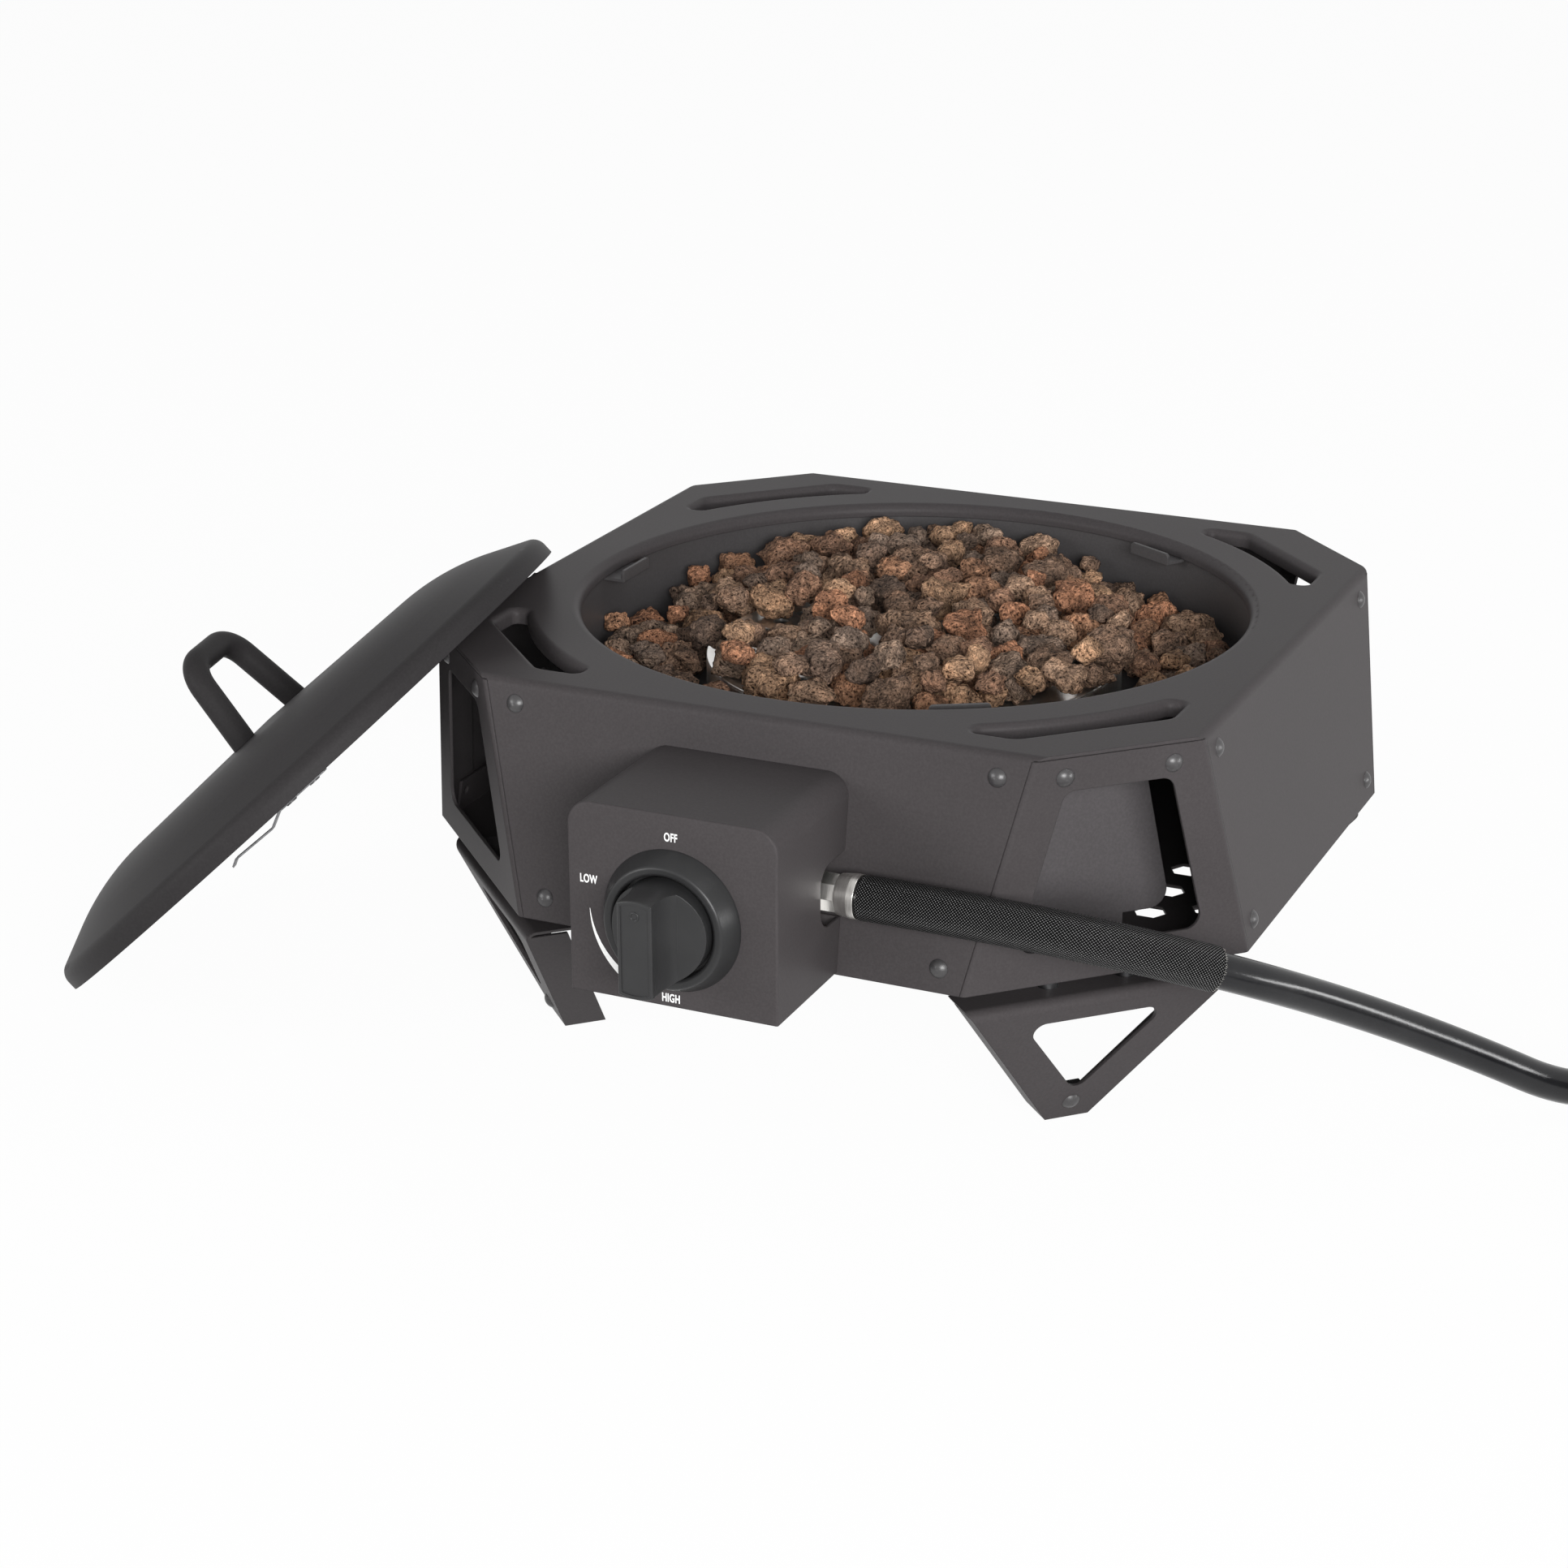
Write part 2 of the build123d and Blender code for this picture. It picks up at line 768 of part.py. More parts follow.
def make_fire_bowl():
    r = bowl_inner_radius()
    t = bowl_sheet
    high = deck_height - sheet
    base = bowl_floor_height
    outer = [(0, base), (r + t, base), (r + t, high - t), (r + t + bowl_flange, high - t),
             (r + t + bowl_flange, high), (r, high), (r, base + t), (0, base + t)]
    face = make_face(Polyline(*outer, close=True))
    bend = collar_bend - sheet + seam
    face = rounded(face, (r + t, base), bowl_radius)
    face = rounded(face, (r, base + t), bowl_radius - t)
    face = rounded(face, (r, high), bend)
    face = rounded(face, (r + t, high - t), bend - t)
    bowl = revolve(Plane.XZ * face, Axis.Z)
    bowl -= Pos(0, 0, base - overrun) * bar(riser_dia + 2 * riser_fit, t + 2 * overrun)
    for x, y in burner_screw_places():
        bowl -= Pos(x, y, base - overrun) * bar(burner_screw_dia + 2 * rivet_fit, t + 2 * overrun)
    return bowl


def tab_level():
    return deck_height - collar_drop - tab_gap - sheet


def make_bowl_tabs():
    r = bowl_inner_radius()
    shelf = Pos(r - tab_reach / 2, 0, sheet / 2) * Box(tab_reach + sheet, tab_width, sheet)
    lip = Box(sheet, tab_width, tab_lip)
    lip = fillet(lip.edges().filter_by(Axis.X).sort_by(Axis.Z)[-2:], tab_corner)
    tab = shelf + Pos(r - tab_reach - sheet / 2, 0, tab_lip / 2) * lip
    tab &= bar(2 * r, tab_lip)
    return group([Rot(0, 0, tab_first_angle + THIRD * i) * Pos(0, 0, tab_level()) * tab for i in range(3)])


def burner_screw_places():
    r = burner_screw_ring / 2
    turns = [math.radians(QUARTER + THIRD * i) for i in range(3)]
    return [(r * math.cos(a), r * math.sin(a)) for a in turns]


def make_burner_pan():
    r = burner_dia / 2
    t = burner_sheet
    base = bowl_floor_height + bowl_sheet
    high = burner_top_height - t
    wall = [(0, base), (r, base), (r, high), (r - t, high), (r - t, base + t), (0, base + t)]
    face = make_face(Polyline(*wall, close=True))
    low = [v for v in face.vertices() if abs(v.X - r) < seam and v.Y < base + t / 2]
    face = fillet(low, burner_edge_radius)
    pan = revolve(Plane.XZ * face, Axis.Z)
    pan -= Pos(0, 0, base - overrun) * bar(riser_dia + 2 * riser_fit, t + 2 * overrun)
    for x, y in burner_screw_places():
        pan -= Pos(x, y, base - overrun) * bar(burner_screw_dia + 2 * rivet_fit, t + 2 * overrun)
    return pan


def make_burner_top():
    t = burner_sheet
    r = burner_dia / 2
    disc = Circle(r)
    holes = []
    for ring in range(port_rings):
        ring_r = port_outer_dia / 2 - port_pitch * ring
        count = int(2 * math.pi * ring_r / port_arc_pitch)
        for i in range(count):
            a = 2 * math.pi * (i + ring / 2) / count
            holes.append(Pos(ring_r * math.cos(a), ring_r * math.sin(a)) * Circle(port_dia / 2))
    plate = extrude(disc - (Sketch() + holes), t)
    top = [e for e in plate.edges().filter_by(GeomType.CIRCLE) if abs(e.radius - r) < seam
           and e.center().Z > t / 2]
    plate = fillet(top, t / 2)
    return Pos(0, 0, burner_top_height - t) * plate


def make_burner_screws():
    low = bowl_floor_height
    high = bowl_floor_height + bowl_sheet + burner_sheet
    one = bar(burner_screw_dia, high - low)
    one += Pos(0, 0, -burner_screw_head_height) * bar(burner_screw_head, burner_screw_head_height)
    one += Pos(0, 0, high - low) * hex_bar(burner_screw_head, burner_screw_head_height)
    return group([Pos(x, y, low) * one for x, y in burner_screw_places()])


def panel_front(z):
    """How far the front panel's outer face stands from the axis at a height."""
    return half_across(z, 0)


def mixer_start():
    return -panel_front(gas_height) + mixer_setback


def make_mixing_tube():
    start = mixer_start()
    end = mixer_overhang
    along = facing((0, start, gas_height), (0, 1, 0), (1, 0, 0))
    length = end - start
    body = along * bar(mixer_dia, length)
    high = bowl_floor_height + bowl_sheet + burner_sheet
    riser = Pos(0, 0, gas_height) * bar(riser_dia, high - gas_height)
    bore = along * bar(mixer_dia - 2 * mixer_wall, length - mixer_wall)
    riser_bore = Pos(0, 0, gas_height) * bar(riser_dia - 2 * mixer_wall, high - gas_height + overrun)
    port = Pos(0, start + mixer_bell, gas_height) * Box(2 * mixer_dia, air_port, air_port)
    return body + riser - bore - riser_bore - port


def make_gas_jet():
    seat = -valve_back
    along = facing((0, seat, gas_height), (0, 1, 0), (1, 0, 0))
    flange = facing((0, mixer_start(), gas_height), (0, 1, 0), (1, 0, 0))
    reach = mixer_start() - seat
    jet = along * bar(jet_dia, reach)
    jet += along * hex_bar(jet_hex, min(jet_hex_length, reach))
    collar = mixer_dia - 2 * mixer_wall - 2 * riser_fit
    jet += flange.offset(-riser_fit) * bar(collar, jet_hex_length / 2)
    jet += flange * bar(jet_nose_dia, jet_nose)
    return jet


def box_outline(inset, low):
    w = box_width / 2 - inset
    high = box_top_height - inset
    face = make_face(Polyline((-w, low), (w, low), (w, high), (-w, high), close=True))
    top = [v for v in face.vertices() if v.Y > high - seam]
    return fillet(top, box_radius - inset)


def make_control_box():
    front = Plane(origin=(0, -box_front, 0), x_dir=(1, 0, 0), z_dir=(0, -1, 0))
    deep = box_front
    outer = front * extrude(box_outline(0, box_bottom_height), -deep)
    inner = front.offset(-box_sheet) * extrude(box_outline(box_sheet, box_bottom_height - overrun), -deep)
    body = body_block(deck_height - wall_height - overrun, deck_height, 0)
    box = outer - inner - body
    edge = [e for e in box.edges().filter_by_position(Axis.Y, -box_front - seam, -box_front + seam)
            if e.center().Z > box_bottom_height + seam]
    box = fillet(edge, box_sheet - seam)
    skin = body_block(deck_height - wall_height - overrun, deck_height, -box_sheet) - body
    ring = front * extrude(box_outline(box_sheet / 2, box_bottom_height), -deep)
    ring -= front.offset(overrun) * extrude(box_outline(box_flange, box_bottom_height - overrun), -2 * deep)
    box += skin & ring
    notch_face = Rectangle(2 * notch_depth, notch_height)
    notch_face = fillet(notch_face.vertices(), notch_radius)
    spot = (box_width / 2, -panel_front(gas_height), gas_height)
    side = Plane(origin=spot, x_dir=(0, 1, 0), z_dir=(1, 0, 0))
    box -= side.offset(-box_flange - overrun) * extrude(notch_face, box_flange + 2 * overrun)
    box -= knob_axis_plane(box_front - overrun) * bar(stem_hole_dia, 2 * overrun)
    for x in (-valve_screw_pitch / 2, valve_screw_pitch / 2):
        spot = knob_axis_plane(box_front - overrun)
        box -= spot * (Pos(x, 0) * bar(valve_screw_dia + 2 * rivet_fit, 2 * overrun))
    return box


def knob_axis_plane(y):
    """A plane across the knob's axis, with its normal toward the front."""
    return Plane(origin=(0, -y, gas_height), x_dir=(1, 0, 0), z_dir=(0, -1, 0))


def make_knob_bezel():
    d = bezel_depth
    ring = [(stem_hole_dia / 2, 0), (bezel_dia / 2, 0), (bezel_front_dia / 2, d), (bezel_bore / 2, d),
            (bezel_bore / 2, bezel_floor), (stem_hole_dia / 2, bezel_floor)]
    face = make_face(Polyline(*ring, close=True))
    rims = [v for v in face.vertices() if v.Y > d - seam]
    face = fillet(rims, bezel_rim_radius)
    bezel = revolve(Plane.XZ * face, Axis.Z)
    clear = Circle(valve_screw_head / 2 + seam)
    for x in (-valve_screw_pitch / 2, valve_screw_pitch / 2):
        bezel -= Pos(x, 0, 0) * extrude(clear, valve_screw_head_height + seam)
    return knob_axis_plane(box_front) * bezel


def grip_cut():
    """The scoop beside the grip bar: a hollow wall, a crease and a sloping flank."""
    front = (grip_width / 2, knob_depth)
    foot = (grip_foot_width / 2, knob_skirt + flank_drop)
    waist = (grip_width / 2 - grip_hollow, (front[1] + foot[1]) / 2)
    rim = (knob_dia / 2, knob_skirt)
    far = knob_dia / 2 + overrun
    edges = [ThreePointArc(front, waist, foot), Line(foot, rim), Line(rim, (far, rim[1])),
             Line((far, rim[1]), (far, knob_depth)), Line((far, knob_depth), front)]
    return extrude(Plane.XZ * make_face(edges), knob_dia, both=True)


def stem_section(fit):
    """The stem's round section with its flat, grown by a fit."""
    flat = Pos(0, stem_dia - stem_flat + 2 * fit) * Rectangle(stem_dia, stem_dia)
    return Circle(stem_dia / 2 + fit) - flat


def make_knob():
    knob = bar(knob_dia, knob_depth)
    scoop = grip_cut()
    knob -= scoop
    knob -= mirror(scoop, about=Plane.YZ)
    front = knob.edges().filter_by_position(Axis.Z, knob_depth - seam, knob_depth + seam)
    knob = fillet(front, grip_edge_radius)
    panel = Rectangle(grip_width - 2 * grip_border, knob_dia) & Circle(knob_dia / 2 - grip_border)
    knob -= Pos(0, 0, knob_depth - grip_recess) * extrude(panel, grip_recess + overrun)
    knob -= extrude(stem_section(stem_fit), stem_in_knob)
    return knob_axis_plane(box_front + knob_gap) * knob


def stem_tip():
    """How far the stem's front end stands from the axis of the body."""
    return box_front + knob_gap + stem_in_knob - stem_fit


def make_valve_stem():
    round_part = stem_length - stem_in_knob - knob_gap
    back = stem_tip() - stem_length
    stem = knob_axis_plane(back) * bar(stem_dia, round_part)
    stem += knob_axis_plane(back + round_part) * extrude(stem_section(0), stem_length - round_part)
    return stem


def make_stem_washer():
    back = box_front - box_sheet - washer_setback - washer_thick
    return knob_axis_plane(back) * tube(washer_dia, stem_dia + 2 * stem_fit, washer_thick)


def make_valve_body():
    face = box_front - box_sheet
    length = face - valve_back
    valve = knob_axis_plane(valve_back) * bar(valve_dia, length)
    plate = RectangleRounded(valve_flange_width, valve_flange_height, valve_flange_height / 3)
    valve += knob_axis_plane(face - valve_flange_thick) * extrude(plate, valve_flange_thick)
    side = Plane(origin=(0, -hose_axis_front, gas_height), x_dir=(0, 1, 0), z_dir=(1, 0, 0))
    boss = side * bar(min(inlet_boss_dia, 2 * (hose_axis_front - valve_back)), inlet_boss_length)
    valve += boss
    valve -= knob_axis_plane(face - valve_cup_depth) * bar(valve_cup_dia, valve_cup_depth + overrun)
    deep = stem_tip() - stem_length - knob_push - 2 * stem_fit
    valve -= knob_axis_plane(deep) * bar(stem_dia + 2 * stem_fit, face - deep)
    for x in (-valve_screw_pitch / 2, valve_screw_pitch / 2):
        p = Plane(origin=(x, -face - overrun, gas_height), z_dir=(0, 1, 0))
        valve -= p * bar(valve_screw_dia + 2 * rivet_fit, valve_flange_thick + 2 * overrun)
    return valve


def make_valve_screws():
    shapes = []
    for x in (-valve_screw_pitch / 2, valve_screw_pitch / 2):
        p = Plane(origin=(x, -box_front, gas_height), z_dir=(0, 1, 0))
        screw = p * bar(valve_screw_dia, box_sheet + valve_flange_thick)
        screw += p.offset(-valve_screw_head_height) * bar(valve_screw_head, valve_screw_head_height)
        shapes.append(screw)
    return group(shapes)


def hose_plane(x):
    """A plane across the hose's first run, with its normal to the right."""
    return Plane(origin=(x, -hose_axis_front, gas_height), x_dir=(0, 1, 0), z_dir=(1, 0, 0))


def make_inlet_nipple():
    start = inlet_boss_length
    end = ferrule_start + ferrule_stop
    nipple = hose_plane(start) * bar(nipple_dia, end - start)
    nipple += hose_plane(start) * hex_bar(nipple_hex, nipple_hex_length)
    return nipple


def make_hose_ferrule():
    r = hose_dia / 2 + hose_fit
    w = ferrule_wall
    stop = ferrule_stop
    length = ferrule_length
    rim = length - ferrule_rim
    wide = r + w + ferrule_flare
    ring = [(nipple_dia / 2 + hose_fit, 0), (r + w, 0), (r + w, stop - w), (wide, rim),
            (wide, length), (r, length), (r, stop), (nipple_dia / 2 + hose_fit, stop)]
    face = make_face(Polyline(*ring, close=True))
    body = revolve(Plane.XZ * face, Axis.Z)
    flats = extrude(RegularPolygon(ferrule_crimp_dia / 2, 8, major_radius=False), stop - w)
    flats += Pos(0, 0, stop - w) * bar(4 * r, length)
    return hose_plane(ferrule_start) * (body & flats)


def route_radii(points):
    """One bend radius for each inner point of the route, as large as its runs allow."""
    radii = []
    for a, b, c in zip(points, points[1:], points[2:]):
        u = Vector(*b) - Vector(*a)
        v = Vector(*c) - Vector(*b)
        turn = math.radians(u.get_angle(v))
        radii.append(hose_bend_share * min(u.length, v.length) / math.tan(turn / 2))
    return radii


def hose_points():
    first = (ferrule_start + ferrule_stop, -hose_axis_front, gas_height)
    return [first] + hose_route + [coil_start]


def swept(path, section):
    """A section carried along a path from its first end."""
    start = path.position_at(0)
    return sweep(Plane(origin=start, z_dir=path.tangent_at(0)) * section, path)


def make_gas_hose():
    points = hose_points()
    radii = route_radii(points)
    path = FilletPolyline(*points, radius=radii)
    hose = swept(path, Circle(hose_dia / 2))
    ideal = math.pi * (hose_dia / 2) ** 2 * path.length
    print("hose radii", [round(r, 1) for r in radii], "length", round(path.length, 1),
          "volume share", round(hose.volume / ideal, 4))
    return hose


def make_hose_sleeve():
    points = hose_points()
    radii = route_radii(points)
    points[0] = (ferrule_start + ferrule_length, -hose_axis_front, gas_height)
    path = FilletPolyline(*points, radius=radii)
    sleeve = swept(path, Circle(sleeve_dia / 2) - Circle(hose_dia / 2 + hose_fit))
    cut = Plane(origin=path.position_at(sleeve_length, position_mode=PositionMode.LENGTH),
                z_dir=path.tangent_at(sleeve_length, position_mode=PositionMode.LENGTH))
    return split(sleeve, bisect_by=cut, keep=Keep.BOTTOM)


def coil_path():
    """The coil's centre line: half turns in, a climbing half turn, and half turns out again."""
    a, b = Vector(*hose_points()[-2]), Vector(*coil_start)
    heading = (b - a)
    heading = Vector(heading.X, heading.Y, 0).normalized()
    here = b
    edges = []
    mids = []
    radii = [coil_first_radius - coil_step / 2 * k for k in range(coil_half_turns + 1)]
    plan = radii[:-1] + [radii[-1]] + radii[:-1][::-1]
    lead = here + heading * hose_dia
    edges.append(Line(here, lead))
    here = lead
    for k, r in enumerate(plan):
        right = Vector(heading.Y, -heading.X, 0)
        if k == coil_half_turns:
            far = here + right * (2 * r) + Vector(0, 0, coil_layer)
            reach = (far - here).length / 2
            joint = here + (far - here) * (1 / 2) + heading * reach
            edges.append(TangentArc(here, joint, tangent=heading))
            edges.append(TangentArc(joint, far, tangent=far - here))
        else:
            far = here + right * (2 * r)
            mid = here + right * r + heading * r
            mids.append(mid)
            edges.append(ThreePointArc(here, mid, far))
        here = far
        heading = heading * -1
    tail = here + heading * coil_tail
    edges.append(Line(here, tail))
    return edges, mids, tail, heading


def self_gap(edges):
    """The least gap between the tube's surfaces at places that are not next to each other."""
    points = []
    along = []
    run = 0.0
    step = hose_dia / 3
    for e in edges:
        n = max(2, int(e.length / step))
        for i in range(n):
            p = e.position_at(i / n)
            points.append((p.X, p.Y, p.Z))
            along.append(run + e.length * i / n)
        run += e.length
    pts = np.array(points)
    s = np.array(along)
    gaps = np.linalg.norm(pts[:, None] - pts[None], axis=2)
    apart = np.abs(s[:, None] - s[None]) > 4 * hose_dia
    return float(gaps[apart].min()) - hose_dia, run


def make_hose_coil():
    edges, _, _, _ = coil_path()
    path = Wire(edges)
    coil = swept(path, Circle(hose_dia / 2))
    gap, run = self_gap(edges)
    ideal = math.pi * (hose_dia / 2) ** 2 * run
    print("coil length", round(run, 1), "least self gap", round(gap, 3),
          "volume share", round(coil.volume / ideal, 4))
    return coil


def make_coil_tie():
    _, mids, _, heading = coil_path()
    middle = sum(mids, Vector(0, 0, 0)) * (1 / len(mids))
    outs = [(m - middle).dot(heading) for m in mids]
    levels = [m.Z for m in mids]
    near = [out for out in outs if out * (-1) ** coil_half_turns > 0]
    r = hose_dia / 2 + tie_fit
    bow = (tie_width + coil_step) ** 2 / 8 / (coil_first_radius - coil_step)
    wide = max(near) - min(near) + 2 * (r + bow)
    tall = max(levels) - min(levels) + 2 * r
    centre = middle + heading * ((min(near) + max(near)) / 2)
    level = (min(levels) + max(levels)) / 2
    across = Vector(heading.Y, -heading.X, 0)
    plane = Plane(origin=(centre.X, centre.Y, level), x_dir=heading, z_dir=across)
    corner = hose_dia / 3
    ring = RectangleRounded(wide + 2 * tie_thick, tall + 2 * tie_thick, corner + tie_thick)
    ring -= RectangleRounded(wide, tall, corner)
    return plane * extrude(ring, tie_width / 2, both=True)


def end_plane(distance):
    """A plane across the hose's far end, a distance past the coil's tail."""
    _, _, tail, heading = coil_path()
    return Plane(origin=tail + heading * distance, x_dir=(0, 0, 1), z_dir=heading)


def make_hose_end():
    end = end_plane(0) * bar(end_dia, end_length)
    end += end_plane(end_length) * bar(end_neck_dia, end_neck)
    return end


def regulator_middle():
    return end_length + end_neck + regulator_port + regulator_dia / 2


def make_regulator():
    p = end_plane(regulator_middle())
    level = p.origin.Z
    low = regulator_low
    high = 2 * level - low
    r = regulator_dia / 2
    centre = Pos(p.origin.X, p.origin.Y, 0)
    seam_low, seam_high = level - regulator_seam / 2, level + regulator_seam / 2
    ring = [(0, low), (r * regulator_cap_share, low), (r, seam_low), (regulator_seam_dia / 2, seam_low),
            (regulator_seam_dia / 2, seam_high), (r, seam_high), (r * regulator_cap_share, high), (0, high)]
    body = centre * revolve(Plane.XZ * make_face(Polyline(*ring, close=True)), Axis.Z)
    body += centre * (Pos(0, 0, high) * bar(vent_nub_dia, vent_nub))
    port = end_plane(end_length + end_neck) * bar(regulator_port_dia, regulator_port + r)
    far = end_plane(regulator_middle()) * bar(regulator_port_dia, r + regulator_port)
    neck = end_plane(regulator_middle() + r + regulator_port)
    stem = neck * bar(nipple_neck_dia, nut_wall + 2 * nut_fit)
    plug = neck.offset(nut_wall + 2 * nut_fit) * bar(plug_dia, plug_length)
    nose = neck.offset(nut_wall + 2 * nut_fit + plug_length) * bar(plug_nose_dia, plug_nose)
    return body + port + far + stem + plug + nose


def make_tank_nut():
    neck = end_plane(regulator_middle() + regulator_dia / 2 + regulator_port + nut_fit)
    flat = Circle(nut_dia / 2)
    flutes = [Pos(nut_dia / 2 * math.cos(2 * math.pi * k / nut_flutes),
                  nut_dia / 2 * math.sin(2 * math.pi * k / nut_flutes)) * Circle(nut_flute_dia / 2)
              for k in range(nut_flutes)]
    outline = flat - (Sketch() + flutes)
    nut = extrude(outline, nut_length) - bar(nipple_neck_dia + 2 * nut_fit, nut_length)
    nut -= Pos(0, 0, nut_wall) * bar(nut_bore, nut_length)
    return neck * nut


def lid_plane():
    """The lid's rim plane where it leans: its lowest rim point is on the floor."""
    t, b = math.radians(lid_tilt), math.radians(lid_bearing)
    normal = Vector(math.cos(b) * math.sin(t), math.sin(b) * math.sin(t), math.cos(t))
    down = Vector(math.cos(b) * math.cos(t), math.sin(b) * math.cos(t), -math.sin(t))
    low = Vector(lid_rest[0], lid_rest[1], 0)
    return Plane(origin=low - down * (lid_rim_dia / 2), x_dir=down, z_dir=normal)


def dome_profile(inset):
    """The lid's profile from the rim to the crown, moved in by an inset."""
    corners = [(lid_rim_dia / 2, 0), (lid_rim_dia / 2, lid_band),
               (lid_shoulder_dia / 2, lid_shoulder_height), (0, lid_height)]
    runs = list(zip(corners, corners[1:]))
    lines = []
    for (x0, y0), (x1, y1) in runs:
        n = math.hypot(x1 - x0, y1 - y0)
        dx, dy = (x1 - x0) / n, (y1 - y0) / n
        lines.append(((x0 - dy * inset, y0 + dx * inset), (dx, dy)))
    points = [(lines[0][0][0], 0)]
    for (p, d), (q, e) in zip(lines, lines[1:]):
        cross = d[0] * e[1] - d[1] * e[0]
        k = ((q[0] - p[0]) * e[1] - (q[1] - p[1]) * e[0]) / cross
        points.append((p[0] + d[0] * k, p[1] + d[1] * k))
    p, d = lines[-1]
    points.append((0, p[1] - p[0] * d[1] / d[0]))
    return points


def dome_solid(inset):
    points = dome_profile(inset)
    face = make_face(Polyline(*points, (0, 0), close=True))
    face = rounded(face, points[1], lid_band_radius - inset)
    face = rounded(face, points[2], lid_shoulder_radius - inset)
    return revolve(Plane.XZ * face, Axis.Z)


def lid_local():
    """The lid in its own frame, with its rolled lip and the holes for its fasteners."""
    shell = dome_solid(0) - dome_solid(lid_sheet)
    r = lid_rim_dia / 2
    shell += tube(2 * r - lid_sheet, 2 * (r - lid_lip), lid_sheet)
    for y in (-handle_span / 2, handle_span / 2):
        shell -= Pos(0, y, 0) * bar(handle_screw_dia + 2 * rivet_fit, lid_height + overrun)
    for spot in clip_rivet_spots():
        shell -= spot * (Pos(0, 0, -overrun) * bar(clip_rivet_dia + 2 * rivet_fit, lid_sheet + 2 * overrun))
    return shell


def make_lid():
    return lid_plane() * lid_local()


def dome_level(r):
    """Height of the dome's outer face at a radius on the crown."""
    slope = (lid_height - lid_shoulder_height) / (lid_shoulder_dia / 2)
    return lid_height - slope * r


def make_lid_handle():
    base = lid_shoulder_height - handle_dia
    top = lid_height + handle_rise
    lean = (handle_span - handle_top_span) / 2 / handle_rise
    foot = handle_span / 2 + lean * (lid_height - base)
    half = handle_top_span / 2
    points = [(0, -foot, base), (0, -half, top), (0, half, top), (0, foot, base)]
    path = FilletPolyline(*points, radius=handle_radius)
    handle = swept(path, Circle(handle_dia / 2)) - dome_solid(0)
    handle = Part() + handle.solids().sort_by(SortBy.VOLUME)[-1]
    for y in (-handle_span / 2, handle_span / 2):
        handle -= Pos(0, y, 0) * bar(handle_screw_dia + 2 * rivet_fit, lid_height + handle_screw_depth)
    return lid_plane() * handle


def make_handle_screws():
    shapes = []
    for y in (-handle_span / 2, handle_span / 2):
        seat = dome_level(handle_span / 2) - 2 * lid_sheet
        tall = handle_screw_head_height
        screw = Pos(0, y, seat) * bar(handle_screw_dia, handle_screw_depth)
        screw += Pos(0, y, seat - tall) * bar(handle_screw_head, tall)
        shapes.append(lid_plane() * screw)
    return group(shapes)


def clip_frames():
    """Where the three clips lie under the lip: along the rim, with their normal toward the dome."""
    return [Rot(0, 0, clip_first_angle - THIRD * i) * Pos(clip_reach, 0, 0) for i in range(3)]


def clip_start():
    return (clip_base + clip_jog + clip_tail + clip_curl) / 2


def clip_rivet_spots():
    spots = []
    for f in clip_frames():
        for k in (-1, 1):
            spots.append(f * Pos(0, clip_start() - clip_base / 2 + k * clip_rivet_pitch / 2, 0))
    return spots


def clip_local():
    """One spring clip: a flat base, a step down, a tail and a curled end."""
    t = clip_sheet
    y = clip_start()
    run = [(y, 0), (y - clip_base, 0), (y - clip_base - clip_jog, -clip_drop),
           (y - clip_base - clip_jog - clip_tail, -clip_drop + t),
           (y - clip_base - clip_jog - clip_tail - clip_curl, -clip_drop - t)]
    low = [(a, b - t) for a, b in run]
    face = make_face(Polyline(*run, *low[::-1], close=True))
    strip = Plane.YZ * extrude(face, clip_width / 2, both=True)
    for k in (-1, 1):
        spot = y - clip_base / 2 + k * clip_rivet_pitch / 2
        strip -= Pos(0, spot, -t - overrun) * bar(clip_rivet_dia + 2 * rivet_fit, t + 2 * overrun)
    return strip


def make_lid_clips():
    return group([lid_plane() * (f * clip_local()) for f in clip_frames()])


def make_clip_rivets():
    one = Pos(0, 0, -clip_sheet) * bar(clip_rivet_dia, clip_sheet + lid_sheet)
    one += Pos(0, 0, -clip_sheet - clip_rivet_head_height) * bar(clip_rivet_head, clip_rivet_head_height)
    one += Pos(0, 0, lid_sheet) * bar(clip_rivet_head, clip_rivet_head_height)
    return group([lid_plane() * (s * one) for s in clip_rivet_spots()])


def hull_faces(points):
    """Corner triples of the convex hull of a few points, each turned outward."""
    n = len(points)
    centre = points.mean(axis=0)
    faces = []
    for i in range(n):
        for j in range(i + 1, n):
            for k in range(j + 1, n):
                normal = np.cross(points[j] - points[i], points[k] - points[i])
                side = (points - points[i]) @ normal
                if np.all(side <= 1e-9 * np.abs(side).max()) or np.all(side >= -1e-9 * np.abs(side).max()):
                    if (centre - points[i]) @ normal > 0:
                        faces.append((i, k, j))
                    else:
                        faces.append((i, j, k))
    return faces


